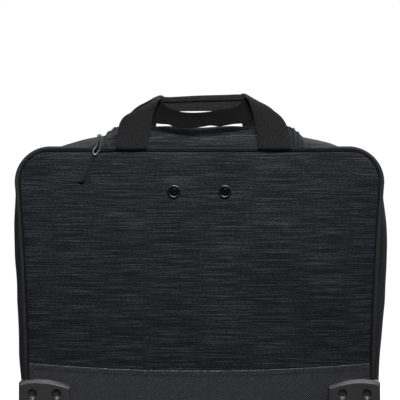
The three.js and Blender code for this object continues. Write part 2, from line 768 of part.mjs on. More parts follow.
function zips() {
  // The hood's slider, parked at the left end, with a wire link over the welt and a cord tab down the back.
  const xs = -121;
  add("hood_slider", fromSolid(box(xs - 5, xs + 5, -100, -97.3, 360, 366)), NICKEL);
  const link = ringPlate(3, 23.4, 1.9, 1.4).translate(0, -11.7, 0);
  hangingPull("hood_pull_link", link, NICKEL, [-117.3, -101.2, 366], -0.31);
  const tab = new THREE.ExtrudeGeometry(roundedRect(2.8, 18, 2), {
    depth: 2.4,
    bevelEnabled: false,
    curveSegments: 4,
  });
  hangingPull("hood_pull_tab", tab.translate(0, -18, 0), WEBBING, [-124.8, -100.7, 342.4], -0.42);

  // Two sliders of the main zip meet on the top.
  const y = ZIP_Y - 6;
  for (const [side, sign] of [
    ["left", -1],
    ["right", 1],
  ]) {
    const x = sign * 9;
    const z = topZ(x, y - 4) + 0.6;
    add(`main_slider_${side}`, fromSolid(box(x - 5.5, x + 5.5, y - 4, y + 4, z, z + 3.2)), NICKEL);
    add(
      `main_pull_${side}`,
      ringPlate(3.4, 26, 1.6, 1.4).rotateZ(Math.PI / 2),
      NICKEL,
      [x + sign * 16, y, z + 3.6],
    );
  }

  // The front pocket's slider at the end of its zip.
  const face = POCKET_FACE + GAP;
  const q = POCKET;
  add("pocket_slider", fromSolid(box(138, 149, face, face + 3.2, q.mouthZ - 4, q.mouthZ + 4)), NICKEL);
  const pull = ringPlate(3.4, 28, 1.6, 1.4).translate(0, -14, 0);
  hangingPull("pocket_pull", pull, NICKEL, [143.5, face + 3.2 + GAP + 1.4, q.mouthZ + 3], 0);
}

bodyPanels();
hood();
inside();
lid();
trolley();
bracketScrews();
wheels();
carryHandles();
zips();

export default group;
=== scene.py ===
"""A soft rolling laptop case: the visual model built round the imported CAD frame.

Shapes are worked out in millimetres, in the frame's own axes, and turned into metres as each mesh is made.
"""

import math
from bisect import bisect_left

import bmesh
import bpy
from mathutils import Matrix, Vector, noise


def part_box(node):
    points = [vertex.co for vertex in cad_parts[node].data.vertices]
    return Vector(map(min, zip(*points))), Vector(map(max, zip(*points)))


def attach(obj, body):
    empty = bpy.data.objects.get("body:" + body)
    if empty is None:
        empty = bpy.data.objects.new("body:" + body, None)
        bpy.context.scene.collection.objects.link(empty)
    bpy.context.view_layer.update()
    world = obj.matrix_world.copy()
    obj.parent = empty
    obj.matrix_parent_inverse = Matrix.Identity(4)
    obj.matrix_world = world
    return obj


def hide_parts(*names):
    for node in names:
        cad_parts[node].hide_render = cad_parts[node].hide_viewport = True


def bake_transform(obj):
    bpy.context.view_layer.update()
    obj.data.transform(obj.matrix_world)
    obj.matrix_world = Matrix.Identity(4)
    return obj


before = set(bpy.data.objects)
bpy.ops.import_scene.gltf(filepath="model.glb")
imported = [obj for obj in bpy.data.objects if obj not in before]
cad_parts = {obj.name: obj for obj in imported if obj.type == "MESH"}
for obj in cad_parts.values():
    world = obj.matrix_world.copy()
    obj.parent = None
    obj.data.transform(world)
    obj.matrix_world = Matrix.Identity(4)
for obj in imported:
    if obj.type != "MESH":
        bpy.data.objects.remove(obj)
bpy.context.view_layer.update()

MM = 0.001
SIDES = (("left", -1), ("right", 1))


# ------------------------------------------------------------------ places from the frame, in mm


class Box:
    """A CAD node's box at rest, in millimetres."""

    def __init__(self, node):
        self.low, self.high = (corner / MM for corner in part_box(node))
        self.middle = (self.low + self.high) / 2
        self.half = (self.high - self.low) / 2


BACK = Box("back_panel")
BACK_Y = BACK.low.y
Z_LOW = BACK.low.z
Z_TOP = BACK.high.z
HALF_TOP = BACK.high.x
HALF_WAIST = HALF_TOP - 10.5
HALF_BOTTOM = HALF_TOP - 11.5
CORNER_TOP = 38.0
CORNER_BOTTOM = 12.0
END_X = HALF_TOP - CORNER_TOP  # where the top corners begin
GUSSET_Y0 = Box("left_gusset").low.y
GUSSET_Y1 = Box("left_gusset").high.y
GUSSET_SKIN = 3.5
SIDE_BULGE = 15.0
DOME_RISE = 24.0
HOOD_HALF = Box("hood_front_lip").high.x
HOOD_TOP = Box("hood_rear_lip").high.z
SLOT_FRONT = Box("hood_front_lip").low.y
LID = Box("lid_rim")
PANEL_FACE = Box("lid_panel").high.y
POCKET = Box("front_pocket")
POCKET_CORNER = 26
POCKET_MOUTH = 286.0
HANDLE_X = 4.5  # the middle of the trolley and the hood's level part


# ------------------------------------------------------------------ material helpers


def feed(tree, socket, value):
    """Links a socket from another one, or sets its constant."""
    if isinstance(value, bpy.types.NodeSocket):
        tree.links.new(value, socket)
    else:
        socket.default_value = value


def add_node(tree, kind, inputs, **settings):
    """A new node with its inputs fed by name or number."""
    made = tree.nodes.new(kind)
    for key, value in settings.items():
        setattr(made, key, value)
    for key, value in inputs.items():
        feed(tree, made.inputs[key], value)
    return made


class Nodes:
    """A material's node tree, with short calls that each add a node or two and return an output."""

    def __init__(self, name, **settings):
        self.material = bpy.data.materials.new(name)
        self.material.use_nodes = True
        self.tree = self.material.node_tree
        for socket, value in settings.items():
            self.set(socket, value)

    def set(self, socket, value):
        """Feeds one of the shader's sockets."""
        feed(self.tree, self.tree.nodes["Principled BSDF"].inputs[socket.replace("_", " ")], value)

    def woven(self):
        """Each point's place on its cloth, in metres: along the weft and across it."""
        return add_node(self.tree, "ShaderNodeAttribute", {}, attribute_name="weave").outputs["Vector"]

    def place(self):
        return add_node(self.tree, "ShaderNodeTexCoord", {}).outputs["Object"]

    def split(self, vector):
        return add_node(self.tree, "ShaderNodeSeparateXYZ", {0: vector}).outputs[:2]

    def math(self, operation, *values):
        return add_node(self.tree, "ShaderNodeMath", dict(enumerate(values)), operation=operation).outputs[0]

    def sum(self, *terms):
        """The sum of (value, weight) terms."""
        total = self.math("MULTIPLY", *terms[0])
        for term in terms[1:]:
            total = self.math("MULTIPLY_ADD", *term, total)
        return total

    def noise(self, vector, factors, detail=3.0, roughness=0.55):
        scaled = add_node(self.tree, "ShaderNodeVectorMath", {0: vector, 1: factors}, operation="MULTIPLY")
        inputs = {"Vector": scaled.outputs[0], "Scale": 1.0, "Detail": detail, "Roughness": roughness}
        return add_node(self.tree, "ShaderNodeTexNoise", inputs, noise_dimensions="3D").outputs["Fac"]

    def wave(self, value, period):
        """A sine of the given period in metres, from 0 to 1."""
        turned = self.math("MULTIPLY", value, 2 * math.pi / period)
        return self.math("MULTIPLY_ADD", self.math("SINE", turned), 0.5, 0.5)

    def tint(self, value, base, *stops):
        """Colours the surface in shades of base, at (place, factor) stops along value."""
        made = add_node(self.tree, "ShaderNodeValToRGB", {"Fac": value})
        elements = made.color_ramp.elements
        while len(elements) < len(stops):
            elements.new(0.5)
        for element, (place, factor) in zip(elements, stops):
            element.position = place
            element.color = (*(c * factor for c in base), 1.0)
        self.set("Base_Color", made.outputs["Color"])

    def bump(self, height, strength, distance):
        inputs = {"Height": height, "Strength": strength, "Distance": distance}
        self.set("Normal", add_node(self.tree, "ShaderNodeBump", inputs).outputs["Normal"])


def melange_fabric(name, base, contrast=0.45, sheen=0.02):
    """Yarn-dyed cloth with horizontal slubs: long thin streaks over a fine plain weave."""
    n = Nodes(name, Roughness=0.9, Specular_IOR_Level=0.1, Sheen_Weight=sheen, Sheen_Roughness=0.45)
    cloth = n.woven()
    streak = n.noise(cloth, (17, 800, 1), detail=2.0, roughness=0.5)
    slub = n.noise(cloth, (46, 950, 1), detail=2.0, roughness=0.6)
    patch = n.noise(cloth, (6, 60, 1), detail=3.0)
    fleck = n.noise(cloth, (420, 850, 1), detail=1.0)
    total = n.sum((streak, 0.41), (slub, 0.25), (patch, 0.08), (fleck, 0.26))
    n.tint(total, base, (0.45, 1 - contrast), (0.512, 1), (0.585, 1 + contrast * 4.4))
    s, t = n.split(cloth)
    weave = n.math("MULTIPLY", n.wave(s, 0.0011), n.wave(t, 0.0009))
    n.bump(n.sum((weave, 1.0), (total, 1.4)), 0.5, 0.00035)
    return n.material


def twill_fabric(name, base):
    """A coarse twill: raised diagonal ribs cut across by finer furrows."""
    n = Nodes(name, Roughness=0.8, Specular_IOR_Level=0.14, Sheen_Weight=0.03, Sheen_Roughness=0.45)
    s, t = n.split(n.woven())
    rib = n.wave(n.math("SUBTRACT", t, s), 0.0027)
    furrow = n.wave(n.math("ADD", s, t), 0.0027)
    cloth = n.sum((rib, 0.6), (furrow, 0.4))
    tone = n.sum((cloth, 0.7), (n.noise(n.woven(), (450, 450, 1), detail=2.0), 0.3))
    n.tint(tone, base, (0.24, 0.25), (0.68, 2.5))
    n.bump(cloth, 0.9, 0.0007)
    return n.material


def webbing_fabric(name, base, sheen=0.02):
    """Flat woven strap: ribs along its length, crossed by the weft's fine ridges."""
    n = Nodes(name, Roughness=0.78, Specular_IOR_Level=0.09, Sheen_Weight=sheen, Sheen_Roughness=0.4)
    s, t = n.split(n.woven())
    cloth = n.sum((n.wave(t, 0.0016), 0.55), (n.wave(s, 0.0011), 0.45))
    tone = n.sum((cloth, 0.35), (n.noise(n.woven(), (420, 620, 1), detail=1.0), 0.65))
    n.tint(tone, base, (0.38, 0.45), (0.64, 1.65))
    n.bump(cloth, 0.45, 0.0004)
    return n.material


def plain_cloth(name, base, roughness=0.85):
    """Binding tape, piping, thread and lining: a tight even weave."""
    n = Nodes(name, Roughness=roughness, Specular_IOR_Level=0.12, Sheen_Weight=0.03, Sheen_Roughness=0.45)
    s, t = n.split(n.woven())
    weave = n.math("MULTIPLY", n.wave(s, 0.0009), n.wave(t, 0.0009))
    tone = n.sum((weave, 0.3), (n.noise(n.woven(), (260, 260, 1)), 0.7))
    n.tint(tone, base, (0.25, 0.75), (0.75, 1.25))
    n.bump(weave, 0.35, 0.0003)
    return n.material


def moulded_plastic(name, base, roughness=0.42, specular=0.4):
    """Moulded plastic with a fine spark-eroded grain."""
    n = Nodes(name, Specular_IOR_Level=specular)
    cloud = n.noise(n.place(), (45, 45, 45))
    n.tint(cloud, base, (0.3, 0.9), (0.7, 1.1))
    n.set("Roughness", n.math("MULTIPLY_ADD", cloud, 0.12, roughness - 0.06))
    n.bump(n.noise(n.place(), (1700, 1700, 1700), detail=2.0), 0.25, 0.00012)
    return n.material


def plated_metal(name, base, roughness, brushed=(900, 900, 40)):
    """Metal with fine draw marks along one axis and a little cloudiness."""
    n = Nodes(name, Metallic=1.0)
    marks = n.noise(n.place(), brushed, detail=2.0)
    n.tint(n.noise(n.place(), (120, 120, 120), detail=2.0), base, (0.3, 0.86), (0.7, 1.1))
    n.set("Roughness", n.math("MULTIPLY_ADD", marks, 0.2, roughness - 0.1))
    n.bump(marks, 0.12, 0.0001)
    return n.material


def tyre_rubber(name, base):
    """Soft wheel rubber: dull, a little scuffed."""
    n = Nodes(name, Roughness=0.7, Specular_IOR_Level=0.3)
    scuff = n.noise(n.place(), (220, 220, 220), detail=4.0)
    n.tint(scuff, base, (0.35, 1), (0.75, 1.7))
    n.bump(scuff, 0.25, 0.0002)
    return n.material


MELANGE = melange_fabric("melange_fabric", (0.0138, 0.0144, 0.0168))
HOOD_CLOTH = melange_fabric("melange_fabric_top", (0.0162, 0.0172, 0.0212), sheen=0.05)
TWILL = twill_fabric("twill_fabric", (0.0258, 0.0265, 0.0288))
WEBBING = webbing_fabric("webbing", (0.0132, 0.0128, 0.0127))
# A darker copy of the webbing: painted shade for the straps that hang in shadow, the near handle's grip band
# and the far handle's legs.
SHADED_WEBBING = webbing_fabric("webbing_painted_shade", (0.003, 0.003, 0.003), sheen=0.0)
WELT = plain_cloth("welt_fabric", (0.024, 0.0247, 0.027))
# A near-black cord: painted shade for the dark shadow lines along the back panel's seam and under the hood.
SEAM_SHADE = plain_cloth("seam_painted_shade", (0.004, 0.004, 0.0045))
# A light cord: painted highlight along the guard panel's top edge.
HEM_HIGHLIGHT = plain_cloth("hem_painted_highlight", (0.11, 0.112, 0.115))
PULL_CORD = plain_cloth("pull_cord", (0.0145, 0.015, 0.017))
TAPE = plain_cloth("zip_tape", (0.0075, 0.0077, 0.0085))
LINING = plain_cloth("lining_fabric", (0.045, 0.047, 0.052))
THREAD = plain_cloth("sewing_thread", (0.045, 0.046, 0.048), 0.7)
PLASTIC = moulded_plastic("moulded_plastic", (0.034, 0.034, 0.035))
GRIP_PLASTIC = moulded_plastic("grip_plastic", (0.012, 0.012, 0.0125), roughness=0.5)
COIL = moulded_plastic("zip_coil", (0.011, 0.011, 0.012), roughness=0.35)
BLACK_METAL = moulded_plastic("black_steel", (0.0025, 0.0025, 0.0025), roughness=0.36, specular=0.14)
ALUMINIUM = plated_metal("tube_aluminium", (0.27, 0.275, 0.285), 0.4)
STEEL = plated_metal("axle_steel", (0.45, 0.45, 0.45), 0.3, brushed=(40, 900, 900))
NICKEL = plated_metal("nickel", (0.52, 0.51, 0.49), 0.34)
ZINC = plated_metal("zinc", (0.13, 0.13, 0.127), 0.4)
GUNMETAL = plated_metal("gunmetal", (0.04, 0.04, 0.042), 0.38)
RUBBER = tyre_rubber("wheel_rubber", (0.012, 0.012, 0.0125))


# ------------------------------------------------------------------ mesh helpers


def keep(obj, body, slot, *nodes):
    """Parents a piece to the body that it rides on and hides the CAD nodes that it stands for. slot, its
    finish, is not used.
    """
    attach(obj, body)
    if nodes:
        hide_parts(*nodes)
    return obj


def smooth(value, low, high):
    """From 0 at low to 1 at high, with soft ends."""
    t = min(1.0, max(0.0, (value - low) / (high - low)))
    return t * t * (3 - 2 * t)


def wobble(point, scale, amount, seed=0.0):
    """A smooth bump from noise at a point in millimetres."""
    return amount * noise.noise(Vector(point) / scale + Vector((seed, seed * 0.7, -seed)))


def lengths(path):
    """The distance from a path's start to each of its points."""
    total = [0.0]
    for a, b in zip(path, path[1:]):
        total.append(total[-1] + (b - a).length)
    return total


def point_at(path, along, want):
    """The point at a distance along a path, and the path's direction there."""
    k = bisect_left(along, want) - 1
    run = path[k + 1] - path[k]
    return path[k] + run * ((want - along[k]) / max(run.length, 1e-9)), run.normalized()


def spline(points, count, closed=False):
    """Evenly numbered points along a smooth curve through the given ones."""
    pts = [Vector(p) for p in points]
    last = len(pts) if closed else len(pts) - 1

    def pick(k):
        return pts[k % len(pts)] if closed else pts[min(max(k, 0), len(pts) - 1)]

    found = []
    for i in range(count):
        place = i / (count if closed else count - 1) * last
        k = min(int(place), last - 1)
        t = place - k
        a, b, c, d = (pick(k + step) for step in (-1, 0, 1, 2))
        cubic = (2 * a - 5 * b + 4 * c - d) * t**2 + (3 * b - a - 3 * c + d) * t**3
        found.append(0.5 * (2 * b + (c - a) * t + cubic))
    return found


def circle(radius, count):
    turns = [2 * math.pi * k / count for k in range(count)]
    return [(radius * math.cos(a), radius * math.sin(a)) for a in turns]


def rounded_rect(half_a, half_b, radius, steps=4):
    """Corner points of a rounded rectangle, as a closed section."""
    found = []
    for corner, (sign_a, sign_b) in enumerate(((1, 1), (-1, 1), (-1, -1), (1, -1))):
        for k in range(steps + 1):
            turn = math.pi / 2 * (corner + k / steps)
            a = sign_a * (half_a - radius) + radius * math.cos(turn)
            b = sign_b * (half_b - radius) + radius * math.sin(turn)
            found.append((a, b))
    return found


def build(name, points, faces, material, angle=40, weave=None, merge=False):
    """An object from points in millimetres, smooth except over edges sharper than angle."""
    mesh = bpy.data.meshes.new(name)
    mesh.from_pydata([tuple(c * MM for c in p) for p in points], [], faces)
    mesh.validate()
    tool = bmesh.new()
    tool.from_mesh(mesh)
    if merge:
        bmesh.ops.remove_doubles(tool, verts=tool.verts, dist=1e-6)
    bmesh.ops.recalc_face_normals(tool, faces=tool.faces)
    tool.to_mesh(mesh)
    tool.free()
    mesh.shade_smooth()
    mesh.set_sharp_from_angle(angle=math.radians(angle))
    if weave is not None:
        layer = mesh.attributes.new("weave", "FLOAT_VECTOR", "POINT")
        for item, (s, t) in zip(layer.data, weave):
            item.vector = (s * MM, t * MM, 0.0)
    mesh.materials.append(material)
    obj = bpy.data.objects.new(name, mesh)
    bpy.context.scene.collection.objects.link(obj)
    return obj


def tube_faces(rows, count, wrap=False):
    """Faces over rows of count points each: joined end to end with wrap, and capped without."""
    faces = []
    for r in range(rows if wrap else rows - 1):
        step = ((r + 1) % rows - r) * count
        for k in range(count):
            a, b = r * count + k, r * count + (k + 1) % count
            faces.append((a, b, b + step, a + step))
    if not wrap:
        end = rows * count
        faces += [tuple(range(count)), tuple(range(end - 1, end - count - 1, -1))]
    return faces


def loft(name, rings, material, angle=40, wrap=False):
    """A closed solid through rings of equally many points."""
    points = [p for ring in rings for p in ring]
    cloth = [(p[0] + p[1], p[2]) for p in points]
    return build(name, points, tube_faces(len(rings), len(rings[0]), wrap), material, angle, cloth)


def sweep(name, path, section, material, closed=False, up=(0, 1, 0), size=None):
    """A section of (across, up) points carried along a path. size(share) may scale it along the way."""
    path = [Vector(p) for p in path]
    along = lengths(path)
    around = lengths([Vector((*p, 0)) for p in section])
    points = []
    cloth = []
    for i, place in enumerate(path):
        before = path[i - 1] if i or closed else path[0]
        after = path[(i + 1) % len(path)] if i < len(path) - 1 or closed else path[-1]
        tangent = (after - before).normalized()
        side = tangent.cross(Vector(up)).normalized()
        top = side.cross(tangent)
        factor = size(i / (len(path) - 1)) if size else 1.0
        for (a, b), t in zip(section, around):
            points.append(place + side * a * factor + top * b * factor)
            cloth.append((along[i], t))
    return build(name, points, tube_faces(len(path), len(section), closed), material, 50, cloth)


def lathe(name, profile, centre, axis, material, segments=48):
    """A profile of (radius, height) points turned about an axis through centre."""
    axis = Vector(axis).normalized()
    side = axis.orthogonal().normalized()
    other = axis.cross(side)
    points = []
    faces = []
    count = len(profile)
    for k in range(segments):
        turn = 2 * math.pi * k / segments
        out = side * math.cos(turn) + other * math.sin(turn)
        points.extend(Vector(centre) + out * r + axis * h for r, h in profile)
        for i in range(count - 1):
            a, b = k * count + i, (k + 1) % segments * count + i
            faces.append((a, b, b + 1, a + 1))
    return build(name, points, faces, material, 35, merge=True)


def slab(name, nu, nv, place, material, weave=None, depths=(0, 1), angle=40, lining=None):
    """A closed solid between a patch's outer and inner faces: place(u, v, depth), with u and v from 0 to 1.

    weave gives a point's place on the cloth: a function of u and v, or the cloth's width and height. Without
    it, that is the outer face's X and Z. lining is the inner face's material.
    """
    points = []
    cloth = []
    for depth in depths:
        for i in range(nu + 1):
            for j in range(nv + 1):
                u, v = i / nu, j / nv
                points.append(place(u, v, depth))
                if weave is None:
                    cloth.append(place(u, v, depths[0])[0::2])
                else:
                    cloth.append(weave(u, v) if callable(weave) else (weave[0] * u, weave[1] * v))

    def at(side, i, j):
        return side * (nu + 1) * (nv + 1) + i * (nv + 1) + j

    cells = [(i, j) for i in range(nu) for j in range(nv)]
    faces = [(at(1, i, j), at(1, i, j + 1), at(1, i + 1, j + 1), at(1, i + 1, j)) for i, j in cells]
    faces += [(at(0, i, j), at(0, i + 1, j), at(0, i + 1, j + 1), at(0, i, j + 1)) for i, j in cells]
    faces += [(at(0, i, j), at(1, i, j), at(1, i + 1, j), at(0, i + 1, j))
              for i in range(nu) for j in (0, nv)]
    faces += [(at(0, i, j), at(0, i, j + 1), at(1, i, j + 1), at(1, i, j))
              for j in range(nv) for i in (0, nu)]
    obj = build(name, points, faces, material, angle, cloth)
    if lining:
        obj.data.materials.append(lining)
        for face in obj.data.polygons[: nu * nv]:
            face.material_index = 1
    return obj


def joined(name, pieces):
    """Several objects with the same attributes as one."""
    with bpy.context.temp_override(active_object=pieces[0], selected_editable_objects=pieces):
        bpy.ops.object.join()
    pieces[0].name = name
    return pieces[0]


def stitches(name, path, normal, width):
    """A row of sewing stitches along a path, each a small lozenge that stands along the normal."""
    length, gap, lift, sunk = 2.6, 1.5, 0.25, 0.1
    path = [Vector(p) for p in path]
    normal = Vector(normal)
    along = lengths(path)
    points = []
    faces = []
    place = gap
    while place + length < along[-1]:
        start, _ = point_at(path, along, place)
        end, _ = point_at(path, along, place + length)
        tangent = (end - start).normalized()
        side = tangent.cross(normal)
        middle = (start + end) / 2 + normal * lift
        first = len(points)
        points += [start - normal * sunk, end - normal * sunk]
        for k in range(6):
            a = math.pi / 3 * k
            ring = side * math.cos(a) * width + normal * math.sin(a) * width * 0.8
            points += [middle - tangent * length * 0.3 + ring, middle + tangent * length * 0.3 + ring]
            a, b = first + 2 + 2 * k, first + 2 + 2 * ((k + 1) % 6)
            faces += [(a, b, b + 1, a + 1), (first, b, a), (first + 1, a + 1, b + 1)]
        place += length + gap
    return build(name, points, faces, THREAD, 60, [(p[0], p[2]) for p in points])


def teeth(name, path, facing, across=2.6, rise=1.0):
    """One side of a coil zip: a row of small rounded bars along a path. facing(point) is outward there."""
    thick, pitch = 1.5, 2.6
    path = [Vector(p) for p in path]
    along = lengths(path)
    points = []
    faces = []
    want = pitch
    while want < along[-1] - pitch:
        at, run = point_at(path, along, want)
        out = Vector(facing(at)).normalized()
        side = run.cross(out)
        first = len(points)
        for level, inset in ((-0.6, 0), (rise * 0.6, 0), (rise, 0.35)):
            for a, b in ((-1, -1), (1, -1), (1, 1), (-1, 1)):
                points.append(at + run * a * (thick / 2 - inset) + side * b * (across / 2 - inset)
                              + out * level)
        faces += [tuple(first + k for k in face) for face in tube_faces(3, 4)]
        want += pitch
    return build(name, points, faces, COIL, 30, [(p[0], p[2]) for p in points])


def moulded(obj, cutters, voxel, rounds):
    """Cuts the cutters from a solid, then softens every edge as a moulding has them."""
    for cutter in cutters:
        cut = obj.modifiers.new("cut", "BOOLEAN")
        cut.operation = "DIFFERENCE"
        cut.object = cutter
        cut.solver = "EXACT"
    remesh = obj.modifiers.new("remesh", "REMESH")
    remesh.mode = "VOXEL"
    remesh.voxel_size = voxel * MM
    relax = obj.modifiers.new("relax", "SMOOTH")
    relax.factor = 0.5
    relax.iterations = rounds
    bpy.context.view_layer.update()
    material = obj.data.materials[0]
    whole = obj.evaluated_get(bpy.context.evaluated_depsgraph_get())
    mesh = bpy.data.meshes.new_from_object(whole)
    obj.modifiers.clear()
    obj.data = mesh
    if not mesh.materials:
        mesh.materials.append(material)
    mesh.shade_smooth()
    for cutter in cutters:
        bpy.data.objects.remove(cutter)


# ------------------------------------------------------------------ the case's outline


def bezier(points, t):
    """A point and its tangent on a Bezier curve of x and z."""
    pts = [Vector(p) for p in points]
    while len(pts) > 2:
        pts = [a.lerp(b, t) for a, b in zip(pts, pts[1:])]
    return pts[0].lerp(pts[1], t), (pts[1] - pts[0]).normalized()


CIRCLE = 0.5523  # a Bezier handle's share of the radius in a quarter circle
SHOULDER = Z_TOP - CORNER_TOP
HEEL = Z_LOW + CORNER_BOTTOM
SIDE_CURVE = ((HALF_BOTTOM, HEEL), (HALF_WAIST, (Z_LOW + SHOULDER) / 2 + 12), (HALF_TOP, SHOULDER))
CORNER_CURVE = (
    (HALF_TOP, SHOULDER),
    (HALF_TOP, Z_TOP - CORNER_TOP * (1 - CIRCLE)),
    (HALF_TOP - CORNER_TOP * (1 - CIRCLE), Z_TOP),
    (END_X, Z_TOP),
)
SIDE_LENGTH = SHOULDER - HEEL + 0.6
CORNER_LENGTH = CORNER_TOP * math.pi / 2
BAND_END = SIDE_LENGTH + CORNER_LENGTH + END_X  # from the top's middle down to the bottom of a side
TOE_LENGTH = CORNER_BOTTOM * math.pi / 2
RIM_END = BAND_END + TOE_LENGTH + HALF_BOTTOM - CORNER_BOTTOM  # and on to the middle of the bottom


def rim(q, out=0.0):
    """Point and normal of the seam line at q, measured along it from the top's middle to the right."""
    left = abs(q) - END_X
    below = abs(q) - BAND_END
    if left <= 0:
        return Vector((q, Z_TOP + out)), Vector((0, 1))
    if below > 0:
        turn = min(below / CORNER_BOTTOM, math.pi / 2)
        normal = Vector((math.cos(turn), -math.sin(turn)))
        place = Vector((HALF_BOTTOM - CORNER_BOTTOM, HEEL)) + normal * CORNER_BOTTOM
        place.x -= max(0.0, below - TOE_LENGTH)
    else:
        if left <= CORNER_LENGTH:
            place, tangent = bezier(CORNER_CURVE, 1 - left / CORNER_LENGTH)
        else:
            place, tangent = bezier(SIDE_CURVE, max(0.0, 1 - (left - CORNER_LENGTH) / SIDE_LENGTH))
        normal = Vector((tangent.y, -tangent.x))
    place = place + normal * out
    mirror = Vector((1 if q >= 0 else -1, 1))
    return place * mirror, normal * mirror


def seam_path(y, out, end=RIM_END, steps=520):
    """Points along the seam line from -end to end, out from it and at depth y."""
    found = []
    for k in range(steps + 1):
        place, _ = rim(-end + 2 * end * k / steps, out)
        found.append(Vector((place.x, y, place.y)))
    return found


def half_width(z):
    """Half the back panel's width at a height."""
    if z >= SHOULDER:
        low, high = 0.0, 1.0
        for _ in range(24):
            middle = (low + high) / 2
            low, high = (middle, high) if bezier(CORNER_CURVE, middle)[0].y < z else (low, middle)
        return bezier(CORNER_CURVE, low)[0].x
    share = (z - HEEL) / (SHOULDER - HEEL)
    if share < 0:
        return HALF_BOTTOM - CORNER_BOTTOM * (1 - math.sqrt(max(0.0, 1 - share**2 * 400)))
    return bezier(SIDE_CURVE, share)[0].x


def panel_spot(u, v):
    """X and Z of a point of the back and lid panels, closer together towards the edges."""
    z = Z_LOW + (Z_TOP - Z_LOW) * (0.5 - 0.5 * math.cos(math.pi * v))
    return half_width(z) * math.sin(math.pi / 2 * (2 * u - 1)), z


def band_height(q):
    """How far the stuffed gusset stands out from the seam at q."""
    left = abs(q) - END_X
    if left <= 0:
        return 1 + DOME_RISE * max(0.0, 1 - (q / (END_X - 6)) ** 2) ** 0.6
    side = left - CORNER_LENGTH
    corner = 1 - smooth(side, -50, 80)
    low = 0.55 + 0.45 * min(1.0, (BAND_END - abs(q)) / 130) - 0.5 * smooth(abs(q), BAND_END, BAND_END + 10)
    if q > 0:
        slack = 3.2 * smooth(side, 10, 60)
    else:
        slack = 0.3 - 1.3 * smooth(side, 85, 115) + 3 * smooth(side, 150, 210)
    slack *= 1 - smooth(abs(q), BAND_END - 25, BAND_END)
    return (SIDE_BULGE * low + slack) * (1 - corner) + corner


def band(q, y, depth=0.0):
    """A point of the gusset: round the case at q, at depth y, and depth inside its outer face."""
    v = (y - GUSSET_Y0) / (GUSSET_Y1 - GUSSET_Y0)
    crown = math.sin(math.pi * min(1.0, max(0.0, v)) ** 0.85) ** 0.75
    place, normal = rim(q)
    ripple = wobble((place.x, y, place.y), 38, 1.5, 3.0)
    place = place + normal * (2 + (band_height(q) + ripple) * crown - depth)
    return Vector((place.x, y, place.y))


# ------------------------------------------------------------------ back of the case


def panel_y(x, z):
    """Depth of the back panel's face: softly stuffed, and turned in at the seam."""
    edge = max(0.0, min(half_width(z) - abs(x), Z_TOP - z, z - Z_LOW + 6))
    puff = 1.1 * (1 - math.exp(-edge / 26)) + 0.9 * (1 - math.exp(-edge / 5))
    turned = 4.4 * math.exp(-edge / 1.5)
    dent = 1.8 * math.exp(-(((x + 112) / 9) ** 2) - ((z - 322) / 24) ** 2)
    return BACK_Y - puff + turned + dent + wobble((x, 0, z), 95, 1.0, 7.0) * smooth(edge, 0, 25)


def back_panel():
    def place(u, v, depth):
        x, z = panel_spot(u, v)
        return (x, panel_y(x, z) if depth == 0 else BACK_Y + depth, z)

    obj = slab("back_panel_cover", 150, 130, place, MELANGE, depths=(0, 5.5), lining=LINING)
    keep(obj, "case", "melange_fabric", "back_panel")


def guard_line(count, proud, drop):
    """Points across the case, drop below the guard panel's top edge and proud of the back panel.

    A line above the edge keeps the depth that the back panel has at the edge.
    """
    found = []
    for k in range(1, count):
        x = HALF_WAIST * (2 * k / count - 1)
        z = guard_top(x) - drop
        found.append((x, panel_y(x, z + min(drop, 0)) - proud, z))
    return found


def guard_top(x):
    return 86 + 9 * (x / HALF_WAIST) ** 2


def guard_panel():
    """The abrasion panel across the lower back, with a turned and stitched hem along its top edge."""
    bottom = Z_LOW + 1

    def place(u, v, depth):
        x = (HALF_BOTTOM - 0.6) * math.sin(math.pi / 2 * (2 * u - 1))
        z = bottom + (guard_top(x) - bottom) * v
        hem = 0.3 * smooth(guard_top(x) - z, 5.2, 4.2) * smooth(guard_top(x) - z, 0, 0.8)
        return (x, panel_y(x, z) - (1.0 + hem if depth == 0 else 0.25), z)

    guard = slab("lower_back_guard", 150, 60, place, TWILL)
    keep(guard, "case", "twill_fabric", "rear_guard_panel")
    for row, drop in enumerate((1.0, 4.4)):
        thread = stitches(f"guard_stitching_{row}", guard_line(120, 1.3, drop), (0, -1, 0), 0.36)
        keep(thread, "case", "twill_fabric")
    # A thin light cord on the hem's top edge: painted highlight for the light line there.
    keep(sweep("guard_hem_painted_highlight", guard_line(120, 0.9, -0.3), circle(0.55, 8), HEM_HIGHLIGHT), "case", "twill_fabric")


def welts():
    end = BAND_END - (64.0 - HEEL)  # the seam runs down into the wheel housings
    rear = sweep("back_welt", seam_path(BACK_Y + 2.5, 1.9, end, 400), circle(2.6, 14), WELT)
    keep(rear, "case", "welt_fabric", "back_piping")
    # A thin near-black cord in the groove between panel and welt: painted shade for the shadow line there.
    seam = sweep("back_seam_painted_shade", seam_path(BACK_Y + 0.7, -1.2, end, 400), circle(1.0, 10), SEAM_SHADE)
    keep(seam, "case", "welt_fabric")


def gusset():
    """The stuffed band round the sides and top, in three sewn lengths that leave the handle's slot open."""

    def length(name, q0, q1, y0, steps, *nodes):
        def spot(u, v):
            return q0 + (q1 - q0) * u, y0 + (GUSSET_Y1 - y0) * v

        def place(u, v, depth):
            return band(*spot(u, v), depth)

        obj = slab(name, steps, 44, place, MELANGE, spot, depths=(0, GUSSET_SKIN), lining=LINING)
        keep(obj, "case", "melange_fabric", *nodes)

    slot = HOOD_HALF + 0.2
    toe = BAND_END + 0.9 * TOE_LENGTH
    length("gusset_left", -toe, -slot, GUSSET_Y0, 150, "left_gusset", "hood_end_left")
    length("gusset_right", slot, toe, GUSSET_Y0, 150, "right_gusset", "hood_end_right")
    length("gusset_top", -slot, slot, SLOT_FRONT + 4, 90, "top_gusset")


# ------------------------------------------------------------------ hood over the stowed handle


